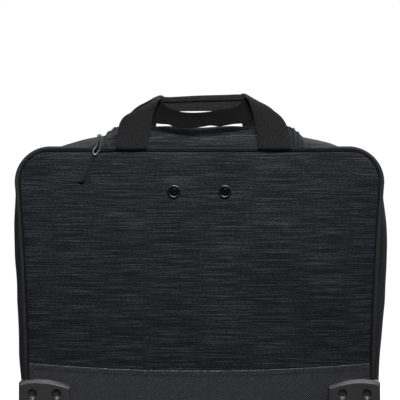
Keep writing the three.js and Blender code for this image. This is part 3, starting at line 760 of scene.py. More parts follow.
def lip_top(x):
    """Height of the hood's lips: level over the grip, stepping down into the shoulders."""
    slope = min(1.0, max(0.0, (abs(x - HANDLE_X) - 104) / 21))
    swell = 0.9 * math.cos(math.pi * x / 38) * (1 - smooth(abs(x), 55, 75))
    return HOOD_TOP + 0.8 - 15.5 * (0.75 * slope + 0.25 * smooth(slope, 0, 1)) - swell


def gather_window(x):
    return smooth(abs(x), 94, 104) * (1 - smooth(abs(x), 124, 130))


def gathers(x):
    """The folds where the hood's cloth is gathered into the end of its zip."""
    wave = math.sin(2 * math.pi * x / 6.1 + 0.9 * math.sin(x / 3.1))
    return gather_window(x) * math.copysign(abs(wave) ** 0.7, wave)


def hood_end(side, sign):
    """The cloth folded in under an end of the hood, which closes the slot there."""

    def flap(u, v, depth):
        x = sign * (HOOD_HALF + 3 - 15 * u)
        y = -92 + 35 * v
        low, high = lip_top(x) - 0.8, band(x, y).z + 0.6
        z = low + (high - low) * smooth(v, 0.1, 0.95) + 1.5 * math.sin(math.pi * v) * (0.4 + 0.6 * u)
        return (x, y, z + 0.5 * gathers(x) - depth)

    end = slab(f"hood_end_flap_{side}", 24, 16, flap, HOOD_CLOTH, (15, 35), depths=(0, 1.6))
    keep(end, "case", "melange_fabric")


def hood():
    half = HOOD_HALF + 13
    skin = (0, 2.2)
    section = ((-98.6, 0.0), (-99.2, 0.1), (-98.9, 0.34), (-96.6, 0.68), (-93.4, 0.93), (-91.0, 1.0))
    curve = spline([(y, 0, share) for y, share in section], 25)

    def rear(u, v, depth):
        x = -half + 2 * half * u
        low = Z_TOP + 3.3
        c = curve[round(v * 24)]
        fold = gathers(x)
        inset = 1.6 * (gather_window(x) - fold) * math.sin(math.pi * min(1, v * 1.1)) ** 0.6
        y = c.x + inset + (0.8 + wobble((x, 0, 50 * v), 24, 0.8, 2.0)) * v
        z = low + (lip_top(x) - low) * c.z + 1.2 * fold * v
        outside = Vector((x, y, z)) + Vector((0, 1, -0.25 - 0.75 * v)).normalized() * depth
        return outside.lerp(band(x, GUSSET_Y0 + 1 + 6 * v, 1.6 + depth), smooth(abs(x), HOOD_HALF + 1, half))

    def front(u, v, depth):
        x = -HOOD_HALF + 2 * HOOD_HALF * u
        y = SLOT_FRONT + 0.6 + 7 * v
        top = lip_top(x) - 0.5
        return Vector((x, y, top + (band(x, y).z + 0.3 - top) * smooth(v, 0.1, 1) - depth))

    obj = slab("hood_rear", 170, 24, rear, HOOD_CLOTH, (2 * half, 30), depths=skin)
    keep(obj, "case", "melange_fabric", "hood_rear_lip")
    obj = slab("hood_front", 110, 10, front, HOOD_CLOTH, (2 * half, 10), depths=skin)
    keep(obj, "case", "melange_fabric", "hood_front_lip")
    for side, sign in SIDES:
        hood_end(side, sign)
    # A thin near-black cord along the hood's bottom seam: painted shade for the dark line there.
    fold = [(x, BACK_Y + 1.0, Z_TOP + 3.4) for x in range(-130, 131, 4)]
    keep(sweep("hood_seam_painted_shade", fold, circle(0.8, 10), SEAM_SHADE), "case", "welt_fabric")
    row = [(x, BACK_Y - 0.1, Z_TOP + 3.0) for x in range(-168, 169, 4)]
    keep(stitches("hood_stitching", row, (0, -1, 0), 0.26), "case", "melange_fabric")


def hood_zip():
    """The hood zip's two half coils along the lips of the handle's slot."""
    for side, y, drop in (("rear", -90.2, 0.6), ("front", SLOT_FRONT + 1.6, 1.0)):
        line = [(x, y, lip_top(x) - drop) for x in range(-112, 113, 2)]
        keep(teeth(f"hood_zip_coil_{side}", line, lambda p: (0, 0, 1), rise=0.8), "case", "moulded_plastic")


# ------------------------------------------------------------------ webbing carry handles


def ribbon(name, edge_a, edge_b, material, thick=1.9, bow=0.0):
    """A strap between two edge lines, each given by a few points, as a closed solid."""
    count, across = 60, 12
    line_a = spline(edge_a, count + 1)
    line_b = spline(edge_b, count + 1)
    middle = [(a + b) / 2 for a, b in zip(line_a, line_b)]
    widths = [(b - a).length for a, b in zip(line_a, line_b)]
    along = lengths(middle)
    facing = []
    for i in range(count + 1):
        run = middle[min(count, i + 1)] - middle[max(0, i - 1)]
        facing.append(run.cross(line_b[i] - line_a[i]).normalized())

    def place(u, v, depth):
        i = round(u * count)
        soft = 0.35 * math.exp(-min(v, 1 - v) * widths[i] / 0.6)
        rise = bow * math.sin(math.pi * v) + (depth - 0.5) * (thick - 2 * soft)
        return line_a[i].lerp(line_b[i], v) + facing[i] * rise

    def cloth(u, v):
        i = round(u * count)
        return along[i], v * widths[i]

    return slab(name, count, across, place, material, cloth, depths=(1, 0), angle=60)


def moved(points, y):
    """Points given from a depth y."""
    return [(x, y + proud, z) for x, proud, z in points]


def rear_handle():
    """The near handle: two legs that lean in and turn over at a tip, and the grip band that sags between."""
    left_outer = [(-98.5, 3, 347.2), (-98.3, 0, 349.4), (-97.2, 0, 360), (-94.8, -0.8, 376.5),
                  (-88.6, -1.6, 386.5),
                  (-77, -2.2, 392.8), (-64, -2.4, 399.6), (-54.5, -1.2, 406), (-49.6, 2.5, 410.2)]
    left_inner = [(-61.8, 3, 347.2), (-61.6, 0, 349.4), (-60.2, -0.4, 360), (-57.2, -1.4, 375),
                  (-54.4, -2.4, 388),
                  (-51.2, -3.2, 397.5), (-47.4, -3, 404.5), (-42.6, 1, 410.4)]
    right_outer = [(107.8, 3, 347.2), (107.7, 0, 349.4), (107, 0, 359), (103.8, -0.8, 373.5),
                   (95.6, -1.6, 386.8),
                   (79, -2.4, 398.6), (65, -1.5, 406.8), (55.4, 2.5, 412.4)]
    right_inner = [(70, 3, 347.2), (69.9, 0, 349.4), (69, -0.4, 361), (66.9, -1.4, 375.5), (64, -2.4, 386.5),
                   (60.6, -3.2, 397.5), (56.8, -3, 406), (48.8, 1, 412.6)]
    band_top = [(-48.4, 2.6, 410), (-44, 1.2, 404.6), (-38.6, -0.6, 398), (-30, -1.8, 394.2),
                (-18, -3, 391.4),
                (0, -3.5, 391), (23, -3, 393.8), (43, -0.4, 398.2), (49.5, 1, 404), (54, 2.6, 411)]
    band_low = [(-74, 1.2, 388.5), (-60, 1.6, 380.6), (-48, 1, 377.8), (-37, -1, 376.9), (-31, -1.6, 374.6),
                (-24, -2, 373), (-8, -2.6, 372.8), (3, -2.6, 374), (13, -2.6, 375.6), (23, -2, 374.4),
                (30, -1.6, 375.6), (41, -0.6, 377.5), (51, 0.6, 378.4), (64, 1.6, 382), (82, 1.2, 391)]
    y = BACK_Y - 1.6
    pieces = [
        ribbon("rear_leg_left", moved(left_outer, y), moved(left_inner, y), WEBBING, bow=-0.8),
        ribbon("rear_leg_right", moved(right_inner, y), moved(right_outer, y), WEBBING, bow=-0.8),
        # The grip band is in the darker webbing: painted shade, as it hangs in shadow under the handle's
        # tips.
        ribbon("rear_band", moved(band_low, y), moved(band_top, y), SHADED_WEBBING, thick=2.0, bow=-0.6),
    ]
    keep(joined("rear_handle_webbing", pieces), "rear_handle", "webbing", "rear_carry_handle")


def front_handle():
    """The far handle: its grip is the strap folded in half along its length and sewn."""
    left_outer = [(-92, 0, 371.5), (-90, 0, 386), (-78, 0, 400), (-62, 0, 409), (-53, 1, 414)]
    left_inner = [(-53, 0, 372), (-52, 0, 386), (-50, 0, 399), (-46, -0.5, 408), (-42, 0, 413.5)]
    right_outer = [(101, 0, 371.5), (99, 0, 386), (87, 0, 400), (71, 0, 409), (60, 1, 415)]
    right_inner = [(55, 0, 372), (50.8, 0, 384), (50.8, 0, 399), (50.8, -0.5, 408), (49, 0, 414.5)]
    top = [(-54, 0, 413), (-42, 0, 413.4), (-34, 0, 413.2), (0, 0, 415), (30, 0, 415.8), (48, 0, 416.4),
           (58, 0, 415.6)]
    low = [(-54, 0, 395.8), (-42, 0, 396.3), (-34, 0, 396), (0, 0, 396.2), (30, 0, 396.5), (48, 0, 397),
           (58, 0, 396.5)]
    fold_low = [(x, -1.7, (high * 1.9 + z) / 2.9) for (x, _, high), (_, _, z) in zip(top, low)]
    fold_top = [(x, -1.7, z + 0.2) for x, _, z in top]
    y = -42.0
    pieces = [
        # The far legs are in the darker webbing: painted shade, as they stand in shadow behind the near legs.
        ribbon("front_leg_left", moved(left_outer, y), moved(left_inner, y), SHADED_WEBBING),
        ribbon("front_leg_right", moved(right_inner, y), moved(right_outer, y), SHADED_WEBBING),
        ribbon("front_band", moved(low, y), moved(top, y), WEBBING, thick=2.2),
        ribbon("front_band_fold", moved(fold_low, y), moved(fold_top, y), WEBBING, thick=1.6),
    ]
    keep(joined("front_handle_webbing", pieces), "front_handle", "webbing", "front_carry_handle")


# ------------------------------------------------------------------ hood pull and eyelets


def hood_pull():
    node = Box("hood_slider")
    plate = rounded_rect(2.5, node.half.y - 0.2, 1.0, 3)
    path = [(node.high.x - 2.2, node.middle.y, node.middle.z + node.half.z * share)
            for share in (-1, -0.9, 0.9, 1)]
    body = sweep("hood_slider_body", path, plate, NICKEL, size=lambda s: 1 - 0.25 * (abs(2 * s - 1) > 0.95))
    keep(body, "hood_zip", "nickel", "hood_slider")

    loop = [(-116.6, 0, 365.2), (-115.9, 0, 361), (-116.5, 0, 354), (-117.4, 0, 348), (-119.6, -0.4, 344.7),
            (-122.4, -0.8, 341.9), (-124.6, -0.9, 342.8), (-125.6, -0.8, 345.9), (-123.6, -0.3, 348.8),
            (-121.4, 0, 351.4), (-119.9, 0, 357), (-118.9, 0, 361), (-118.2, 0, 365.2)]
    bend = spline(moved(loop, BACK_Y - 2.0), 96, closed=True)
    wire = sweep("hood_link_wire", bend, circle(0.75, 10), NICKEL, closed=True)
    keep(wire, "hood_link", "nickel", "hood_pull_link")

    start = Vector((-124.2, BACK_Y - 2.6, 343.4))
    end = Vector((-139.6, BACK_Y - 2.9, 309.4))
    path = [start.lerp(end, k / 24) for k in range(25)]

    def fullness(share):
        return 0.72 + 0.42 * share + 0.22 * smooth(share, 0.82, 1.0) - 0.35 * (share > 0.99)

    tab = sweep("hood_tab_cord", path, rounded_rect(2.5, 1.15, 0.9, 3), PULL_CORD, size=fullness)
    keep(tab, "hood_tab", "webbing", "hood_pull_tab")


def eyelets():
    rolled = [(7.5, -0.6), (7.5, 0.9), (7.2, 1.7), (6.5, 2.1), (5.8, 1.8), (5.3, 1.1), (5.1, 0.3),
              (5.1, -0.6),
              (7.5, -0.6)]
    disc = [(0, 0.45), (5.2, 0.45), (5.2, -0.4), (0, -0.4)]
    dome = [(0, 0.3), (3.9, 0.3), (3.9, 0.9), (3.5, 1.4), (2.9, 1.6), (2.3, 1.45), (2.0, 0.7), (0, 0.6)]
    for side, _ in SIDES:
        middle = Box(f"eyelet_{side}").middle
        centre = (middle.x, panel_y(middle.x, middle.z), middle.z)
        ring = lathe(f"eyelet_rim_{side}", rolled, centre, (0, -1, 0), GUNMETAL, 56)
        keep(ring, "case", "nickel", f"eyelet_{side}")
        floor = lathe(f"eyelet_floor_{side}", disc, centre, (0, -1, 0), BLACK_METAL, 40)
        keep(floor, "case", "black_steel")
        screw = lathe(f"bracket_screw_head_{side}", dome, centre, (0, -1, 0), BLACK_METAL, 40)
        keep(screw, "case", "black_steel", f"bracket_screw_{side}")


# ------------------------------------------------------------------ corner wheel housings


def prism(outline, x_low, x_high):
    """A cutter: an outline of (y, z) points carried along X."""
    return loft("cut_prism", [[(x, y, z) for y, z in outline] for x in (x_low, x_high)], PLASTIC)


def rod(centre, axis, radius, half, segments=40):
    """A cutter: a round bar."""
    profile = [(0, -half), (radius, -half), (radius, half), (0, half)]
    return lathe("cut_rod", profile, centre, axis, PLASTIC, segments)


def housing_screw(side, which, face):
    """A screw head in its recess, and the skid rib that runs down the housing's face from under it."""
    node = Box(f"housing_screw_{side}_{which}")
    x, z = node.middle.x, node.middle.z
    head = [(0, 0), (4.7, 0), (4.7, 9.0), (4.3, 9.4), (1.1, 9.5), (0.8, 9.1), (0, 9.1)]
    screw = lathe(f"housing_screw_head_{side}_{which}", head, (x, node.high.y, z), (0, -1, 0), PLASTIC, 36)
    keep(screw, "case", "black_steel", f"housing_screw_{side}_{which}")
    stands = ((58.2, 1.0), (57.6, 2.0), (54.4, 3.8), (51.2, 5.2), (47.6, 6.2), (44.0, 6.4), (40.4, 5.8),
              (38.8, 4.2))
    turns = [math.pi * k / 16 for k in range(17)]
    rings = []
    for level, stand in stands:
        rings.append([(x + 3.8 * math.cos(t), face + 1.2 - (stand + 1.2) * math.sin(t) ** 0.5, level)
                      for t in turns])
    keep(loft(f"skid_rib_{side}_{which}", rings, PLASTIC), "case", "moulded_plastic")
    return rod((x, face + 4, z), (0, 1, 0), 5.2, 7.4)


def housing(side, sign):
    """A moulded corner: an arched block with a wheel well, a sloping underside and two recessed screws."""
    node = Box(f"wheel_housing_{side}")
    low, high, middle, half = node.low, node.high, node.middle.x, node.half.x
    axle = Box(f"wheel_hub_{side}").middle

    def section(y, inset, top, ends_in, ends_out):
        """Outline at one depth: straight sides and an arched top that peaks a little outward."""
        reach = sign * (half - inset)
        outline = [(middle - reach, y, low.z + inset), (middle + reach, y, low.z + inset)]
        for k in range(25):
            a = 1 - 2 * k / 24
            lift = 1 - abs(a - 0.2 * (1 - a * a)) ** 2.2
            end = ends_out if a > 0 else ends_in
            outline.append((middle + reach * a, y, end + (top - end) * lift))
        return outline

    rings = [
        section(low.y, 1.0, 73.3, 66.6, 70.0),
        section(low.y + 4.4, 0.0, 77.7, 69.4, 73.6),
        section(high.y - 2, 0.0, 77.7, 69.4, 73.6),
        section(high.y, 2.0, 75.0, 67.6, 71.0),
    ]
    body = loft(f"corner_housing_{side}", rings, PLASTIC)
    well = 12.5
    chin = [(low.y - 9, 36.5), (low.y - 0.5, 36.5), (low.y + 15, low.z - 0.5), (low.y + 15, low.z - 9),
            (low.y - 9, low.z - 9)]
    mouth = [(axle.y - 30, axle.z), (axle.y + 30, axle.z), (axle.y + 30, -9), (axle.y - 30, -9)]
    cutters = [
        prism(chin, middle - 60, middle + 60),
        rod(axle, (1, 0, 0), 30, well, 72),
        prism(mouth, axle.x - well, axle.x + well),
        rod(axle, (1, 0, 0), 3.4, 40),
    ]
    for which in ("inner", "outer"):
        cutters.append(housing_screw(side, which, low.y))
    moulded(body, cutters, 0.62, 3)
    keep(body, "case", "moulded_plastic", f"wheel_housing_{side}")


def wheel(side):
    """A rubber tyre with a ribbed tread on a dished five-spoke hub, and the steel axle."""
    node = Box(f"wheel_tyre_{side}")
    centre, r, half = node.middle, node.half.z, node.half.x
    tread = [(r - 6, -half + 0.2), (r - 2.6, -half), (r - 0.9, -half + 0.8), (r - 0.1, -half + 2.6)]
    for k in range(-2, 3):
        tread += [(r, k * 3.2 - 1.1), (r, k * 3.2 + 1.1), (r - 0.5, k * 3.2 + 1.35),
                  (r - 0.5, k * 3.2 + 1.85)]
    tread = tread[:-2] + [(r - 0.1, half - 2.6), (r - 0.9, half - 0.8), (r - 2.6, half), (r - 6, half - 0.2)]
    tyre = lathe(f"tyre_{side}", tread + [tread[0]], centre, (1, 0, 0), RUBBER, 96)
    keep(tyre, f"wheel_{side}", "wheel_rubber", f"wheel_tyre_{side}")

    dish = [(3.15, half + 0.7), (6.5, half + 0.7), (7.6, half - 0.6), (8.2, 5.0), (18.0, 5.6),
            (18.8, half - 1.6),
            (19.6, half - 0.5), (r - 6.2, half - 0.5)]
    profile = [(reach, -level) for reach, level in dish] + dish[::-1]
    hub = lathe(f"hub_{side}", profile + [profile[0]], centre, (1, 0, 0), GRIP_PLASTIC, 80)
    for vertex in hub.data.vertices:
        offset = vertex.co / MM - centre
        if 8.0 < math.hypot(offset.y, offset.z) < 18.4 and abs(offset.x) < 7:
            spoke = smooth(math.cos(5 * math.atan2(offset.z, offset.y)), 0.1, 0.7)
            vertex.co.x += math.copysign(3.2 * spoke, offset.x) * MM
    keep(hub, f"wheel_{side}", "moulded_plastic", f"wheel_hub_{side}")

    node = Box(f"wheel_axle_{side}")
    length = node.half.x
    pin = [(0, -length), (2.4, -length), (2.9, -length + 0.6), (2.9, length - 0.6), (2.4, length),
           (0, length)]
    axle = lathe(f"axle_pin_{side}", pin, node.middle, (1, 0, 0), STEEL, 32)
    keep(axle, "case", "axle_steel", f"wheel_axle_{side}")


# ------------------------------------------------------------------ telescoping handle


def section_at(middle, half, inset, radius, z, steps):
    """A ring of points: an upright bar's rounded oblong section, inset from its half size."""
    outline = rounded_rect(half.x - inset, half.y - inset, radius, steps)
    return [(middle.x + a, middle.y + b, z) for a, b in outline]


def hollow_bar(name, node, wall, radius, material):
    """An upright tube of rounded oblong section, open at both ends, with its rims eased."""
    turns = [(0.25, 0, 0), (0, 0.35, 0), (0, -0.35, 1), (0.25, 0, 1), (wall - 0.25, 0, 1), (wall, -0.35, 1),
             (wall, 0.35, 0), (wall - 0.25, 0, 0)]
    rings = []
    for inset, rise, end in turns:
        z = (node.high.z if end else node.low.z) + rise
        rings.append(section_at(node.middle, node.half, inset, max(0.4, radius - inset), z, 5))
    return loft(name, rings, material, wrap=True)


def trolley():
    stages = (("outer", "case"), ("mid", "trolley_middle"), ("inner", "trolley_upper"))
    for side, _ in SIDES:
        tubes = {}
        for stage, body in stages:
            node = f"{stage}_tube_{side}"
            tubes[stage] = Box(node)
            tube = hollow_bar(f"{node}_drawn", tubes[stage], 1.2, 4.2, ALUMINIUM)
            keep(tube, body, "tube_aluminium", node)
        for (stage, body), (within, _) in zip(stages, stages[1:]):
            node = f"{stage}_collar_{side}"
            collar = Box(node)
            wall = collar.half.x - tubes[within].half.x - 0.3
            ring = hollow_bar(f"{node}_ring", collar, wall, 4.6, GRIP_PLASTIC)
            keep(ring, body, "moulded_plastic", node)


def grip():
    """The pull handle: fuller at its ends over the tubes, waisted and arched between them for the fingers."""
    node, button = Box("grip"), Box("release_button")
    rings = []
    for k in range(65):
        s = 2 * k / 64 - 1
        end = 0.55 + 0.45 * math.sqrt(max(0.0, 1 - max(0.0, (abs(s) - 0.94) / 0.06) ** 2))
        waist = smooth(abs(s), 0.52, 0.8)
        bottom = node.low.z + 7.5 * (1 - waist) + 2.0 * (1 - end)
        top = node.high.z - 4.8 * (1 - end)
        thick = (node.half.y - 2.0 + 2.0 * waist) * end
        tall = (top - bottom) / 2
        ring = rounded_rect(thick, tall, min(7.0, thick - 0.5, tall - 0.5), 6)
        x = node.middle.x + s * node.half.x
        rings.append([(x, node.middle.y + a, bottom + tall + b) for a, b in ring])
    bar = loft("grip_moulding", rings, GRIP_PLASTIC)
    levels = (button.low.z - 0.4, node.high.z + 6)
    cut = [section_at(button.middle, button.half, -0.5, 4.0, z, 6) for z in levels]
    moulded(bar, [loft("cut_button", cut, GRIP_PLASTIC)], 0.7, 2)
    keep(bar, "trolley_upper", "moulded_plastic", "grip")

    rings = []
    for inset, share, dish in ((0, 0, 0), (0, 0.82, 0), (0.35, 0.93, 0), (1.0, 1.0, 0), (2.2, 1.0, 0.35)):
        z = button.low.z + 2 * button.half.z * share - dish
        radius = max(0.6, button.half.y - inset - 0.4)
        rings.append(section_at(button.middle, button.half, inset, radius, z, 6))
    cap = loft("release_button_cap", rings, BLACK_METAL, 50)
    keep(cap, "button", "moulded_plastic", "release_button")


# ------------------------------------------------------------------ feet, base and inside


def feet():
    for side, _ in SIDES:
        node = Box(f"front_foot_{side}")
        levels = ((0, 6.2), (0.8, 5.2), (2.2, 4.6), (3.0, 5.4), (3.8, 4.2), (13, 2.4), (17, 0.6), (18.5, 0),
                  (node.high.z - 0.1, 0))
        rings = []
        for z, inset in levels:
            outline = rounded_rect(node.half.x - inset, node.half.y - inset * 0.55, 5.0, 6)
            rings.append([(node.middle.x + a, node.middle.y + b, node.low.z + z) for a, b in outline])
        block = loft(f"front_foot_{side}_block", rings, PLASTIC)
        keep(block, "case", "moulded_plastic", f"front_foot_{side}")


def case_base():
    """The bottom: a stiff board under twill, with a bound edge and three skid ribs."""
    node = Box("base_board")
    low, high = node.low, node.high
    size = (2 * node.half.x, 2 * node.half.y)

    def place(u, v, depth):
        x, y = low.x + size[0] * u, low.y + size[1] * v
        edge = min(x - low.x, high.x - x, y - low.y, high.y - y)
        drop = 1.2 * (1 - math.exp(-edge / 18)) - 1.6 * math.exp(-edge / 2.5)
        for centre in (-60.0, 0.0, 60.0):
            drop += 2.2 * smooth(5.5 - abs(x - centre), 0, 2.5) * smooth(min(v, 1 - v), 0.06, 0.12)
        return (x, y, low.z + 1.8 - drop if depth == 0 else high.z)

    obj = slab("case_base_cover", 132, 50, place, TWILL, size, lining=LINING)
    keep(obj, "case", "twill_fabric", "base_board")


def divider():
    """The padded wall between trolley and compartment, and the flap that closes the gap over it."""
    node = Box("divider_panel")
    half = node.half.x - 0.5
    top = node.high.z

    def board(u, v, depth):
        z = node.low.z + 2 * node.half.z * v
        x = half * (2 * u - 1) * (1 - 0.06 * smooth(z, top - 30, top) ** 2)
        soft = 0.8 * math.exp(-max(0, min(half - abs(x), top - z)) / 3)
        return (x, node.low.y + soft if depth else node.high.y - soft, z)

    obj = slab("padded_divider", 70, 60, board, LINING, (400, 313))
    keep(obj, "case", "lining_fabric", "divider_panel")

    def flap(u, v, depth):
        x = 170 * (2 * u - 1)
        return (x, SLOT_FRONT + 4 + 0.7 * depth, 330 + (band(x, SLOT_FRONT + 5).z - 3.4 - 330) * v)

    obj = slab("divider_top_flap", 80, 6, flap, LINING, (340, 25))
    keep(obj, "case", "lining_fabric")


def sleeve():
    """The padded laptop sleeve, its bound top edge and the strap over it."""
    node = Box("laptop_sleeve")
    low, high, half = node.low, node.high, node.half.x
    right = [(0, high.y), (half * 0.5, high.y - 0.3), (half - 12, high.y - 0.8), (half - 3, high.y - 4),
             (half, high.y - 12), (half, low.y + 0.3)]
    outline = [(-x, y) for x, y in right[:0:-1]] + right
    outer = spline([(x, y, 0) for x, y in outline], 121)
    slim, flat = 1 - 4.5 / half, 1 - 5.5 / (high.y - low.y)
    inner = spline([(x * slim, low.y + (y - low.y) * flat, 0) for x, y in outline], 121)

    def wall(u, v, depth):
        spot = (inner if depth else outer)[round(u * 120)]
        z = low.z + (high.z - low.z) * v - 9 * v * math.sin(math.pi * u) ** 0.5
        return (spot.x, spot.y, z)

    obj = slab("laptop_sleeve_pad", 120, 40, wall, MELANGE, (450, 235), lining=LINING)
    keep(obj, "case", "lining_fabric", "laptop_sleeve")
    edge = [Vector(wall(k / 120, 1, 0)) + Vector((0, -1.6, 0.4)) for k in range(121)]
    binding = sweep("sleeve_binding", edge, rounded_rect(2.6, 2.2, 1.8, 3), WELT, up=(0, 0, 1))
    keep(binding, "case", "welt_fabric")
    strap = [(-19, high.y + 0.9, 205), (-19, high.y + 1.3, 258), (-19, high.y - 8, 268),
             (-19, low.y + 8, 268),
             (-19, low.y + 1.5, 276), (-19, low.y + 1.5, 300)]
    other_edge = [(x + 38, y, z) for x, y, z in strap]
    keep(ribbon("sleeve_strap", strap, other_edge, WEBBING, thick=1.6), "case", "webbing")


# ------------------------------------------------------------------ lid and its pockets


def lid_shell():
    def side(u, v, depth):
        place, _ = rim(-RIM_END + 2 * RIM_END * u, 0.9 + 0.8 * math.sin(math.pi * v) - depth)
        return (place.x, LID.low.y + (LID.high.y - LID.low.y) * v, place.y)

    obj = slab("lid_side_band", 420, 8, side, MELANGE, (2 * RIM_END, 9), depths=(0, 3), lining=LINING)
    keep(obj, "lid", "melange_fabric", "lid_rim")

    def face(u, v, depth):
        x, z = panel_spot(u, v)
        edge = max(0.0, min(half_width(z) - abs(x), Z_TOP - z, z - Z_LOW))
        puff = 2.2 * (1 - math.exp(-edge / 14)) - 2.4 * math.exp(-edge / 2.2)
        y = PANEL_FACE - 0.9 + puff + wobble((x, 9, z), 80, 0.8)
        return (x, y if depth == 0 else LID.high.y + 0.4, z)

    obj = slab("lid_front_panel", 130, 120, face, MELANGE, lining=LINING)
    keep(obj, "lid", "melange_fabric", "lid_panel")
    welt = sweep("lid_welt", seam_path(LID.high.y + 2.2, 1.4)[:-1], circle(2.2, 12), WELT, closed=True)
    keep(welt, "lid", "welt_fabric")


def lid_slip_pocket():
    """A flat pocket inside the lid, open at its bound top edge."""
    half, bottom, top = 176.0, 46.0, 216.0

    def panel(u, v, depth):
        x = half * (2 * u - 1)
        z = bottom + (top - 5 * math.sin(math.pi * u) - bottom) * v
        edge = min(half - abs(x), z - bottom)
        slack = 2.6 * smooth(edge, 0, 55) + wobble((x, 9, z), 70, 1.2, 5.0) * smooth(edge, 0, 30)
        return (x, LID.high.y - 0.8 - slack - (0 if depth else 1.2), z)

    obj = slab("lid_slip_pocket", 90, 50, panel, LINING, (2 * half, top - bottom))
    keep(obj, "lid", "lining_fabric")
    edge = [Vector(panel(k / 90, 1, 0)) + Vector((0, 0.5, 0.3)) for k in range(91)]
    keep(sweep("lid_slip_pocket_binding", edge, rounded_rect(1.5, 2.6, 1.0, 3), WELT), "lid", "welt_fabric")


def pocket_gap(x, z):
    """Distance in from the pocket's edge, an upright rounded rectangle, at edges and corners alike."""
    a = abs(x) - (POCKET.high.x - POCKET_CORNER)
    b = abs(z - POCKET.middle.z) - (POCKET.half.z - POCKET_CORNER)
    return POCKET_CORNER - math.hypot(max(a, 0), max(b, 0)) - min(max(a, b), 0)


def pocket_face(x, z):
    """Depth of the pocket's face at a point: full rounded edges, fuller below than above."""
    gap = pocket_gap(x, z)
    wall = math.sqrt(max(0.0, 1 - max(0.0, 1 - gap / 13) ** 2))
    full = 1 - math.exp(-max(gap, 0) / 24)
    sag = 1.5 * full * math.cos((z - 130) / 90)
    depth = POCKET.high.y - PANEL_FACE - 6.0
    return PANEL_FACE + 0.3 + depth * wall + 4.6 * full + sag + wobble((x, 5, z), 60, 1.6, 4.0) * full


def pocket_loop(inset, lift):
    """A line round the pocket, inset from its edge and lifted off its face."""
    outline = rounded_rect(POCKET.high.x - inset, POCKET.half.z - inset, POCKET_CORNER - inset * 0.6, 10)
    found = []
    for p in spline([(a, b, 0) for a, b in outline], 300, closed=True):
        z = p.y + POCKET.middle.z
        found.append(Vector((p.x, pocket_face(p.x, z) + lift, z)))
    return found


def front_pocket():
    half = POCKET.high.x

    def spot(u, v):
        z = POCKET.middle.z - POCKET.half.z * math.cos(math.pi * v)
        over = max(0.0, abs(z - POCKET.middle.z) - (POCKET.half.z - POCKET_CORNER))
        reach = half - POCKET_CORNER + math.sqrt(max(0.0, POCKET_CORNER**2 - over**2))
        return reach * math.sin(math.pi / 2 * (2 * u - 1)), z

    def face(u, v, depth):
        x, z = spot(u, v)
        slit = 2.4 * smooth(7 - abs(z - POCKET_MOUTH), 0, 3) * smooth(158 - abs(x), 0, 4)
        return (x, pocket_face(x, z) - slit if depth == 0 else PANEL_FACE + 0.4, z)

    def cloth(u, v):
        """The face's cloth runs on down the pocket's sides."""
        x, z = spot(u, v)
        drop = POCKET.high.y - pocket_face(x, z)
        if half - abs(x) < min(z - POCKET.low.z, POCKET.high.z - z):
            return x + math.copysign(drop, x), z
        return x, z + math.copysign(drop, z - POCKET.middle.z)

    obj = slab("pocket_shell", 150, 150, face, MELANGE, cloth)
    keep(obj, "lid", "melange_fabric", "front_pocket")
    for name, inset, lift, radius in (("edge", 6.5, 0.8, 1.9), ("base", 0.2, 1.2, 1.5)):
        welt = sweep(f"pocket_{name}_welt", pocket_loop(inset, lift), circle(radius, 10), WELT, closed=True)
        keep(welt, "lid", "welt_fabric")
    row = [(x, pocket_face(x, 275), 275.0) for x in range(-160, 161, 4)]
    keep(stitches("pocket_stitching", row, (0, 1, 0), 0.35), "lid", "melange_fabric")


# ------------------------------------------------------------------ zips


def pocket_zip():
    def tape(u, v, depth):
        x = -156 + 312 * u
        z = POCKET_MOUTH - 5.5 + 11 * v
        return (x, pocket_face(x, z) - 2.2 + 0.7 * depth, z)

    obj = slab("pocket_zip_tape", 80, 6, tape, TAPE, (312, 11), depths=(1, 0))
    keep(obj, "lid", "welt_fabric")
    line = [(x, pocket_face(x, POCKET_MOUTH) - 1.4, POCKET_MOUTH) for x in range(-152, 153, 2)]
    coil = teeth("pocket_zip_coil", line, lambda p: (0, 1, 0), across=4.6, rise=1.3)
    keep(coil, "lid", "moulded_plastic")


def radial(point):
    """Outward from the case at a point of its side band."""
    x, z = point.x, point.z
    if z > Z_TOP - 30 and abs(x) < END_X:
        return (0, 0, 1)
    if z < SHOULDER:
        return (math.copysign(1, x), 0, 0)
    return (x - math.copysign(END_X, x), 0, z - SHOULDER)


def main_zip():
    """The zip round three sides: one tape and coil on the case and the other on the lid."""
    end = BAND_END + 2

    def case_tape(u, v, depth):
        return band(-end + 2 * end * u, 43.5 + 7.6 * v, -0.3 - 0.6 * depth)

    def lid_tape(u, v, depth):
        place, _ = rim(-end + 2 * end * u, 1.8 + 0.7 * depth)
        return (place.x, LID.low.y + 0.2 + 6.0 * v, place.y)

    for body, tape in (("case", case_tape), ("lid", lid_tape)):
        obj = slab(f"main_zip_tape_{body}", 400, 4, tape, TAPE, (2 * end, 8), depths=(1, 0))
        keep(obj, body, "welt_fabric")
    case_line = [band(-end + 2 * end * k / 500, GUSSET_Y1 - 1.6, -0.9) for k in range(501)]
    lid_line = seam_path(LID.low.y + 1.5, 2.5, end, 500)
    for body, line in (("case", case_line), ("lid", lid_line)):
        keep(teeth(f"main_zip_coil_{body}", line, radial), body, "moulded_plastic")


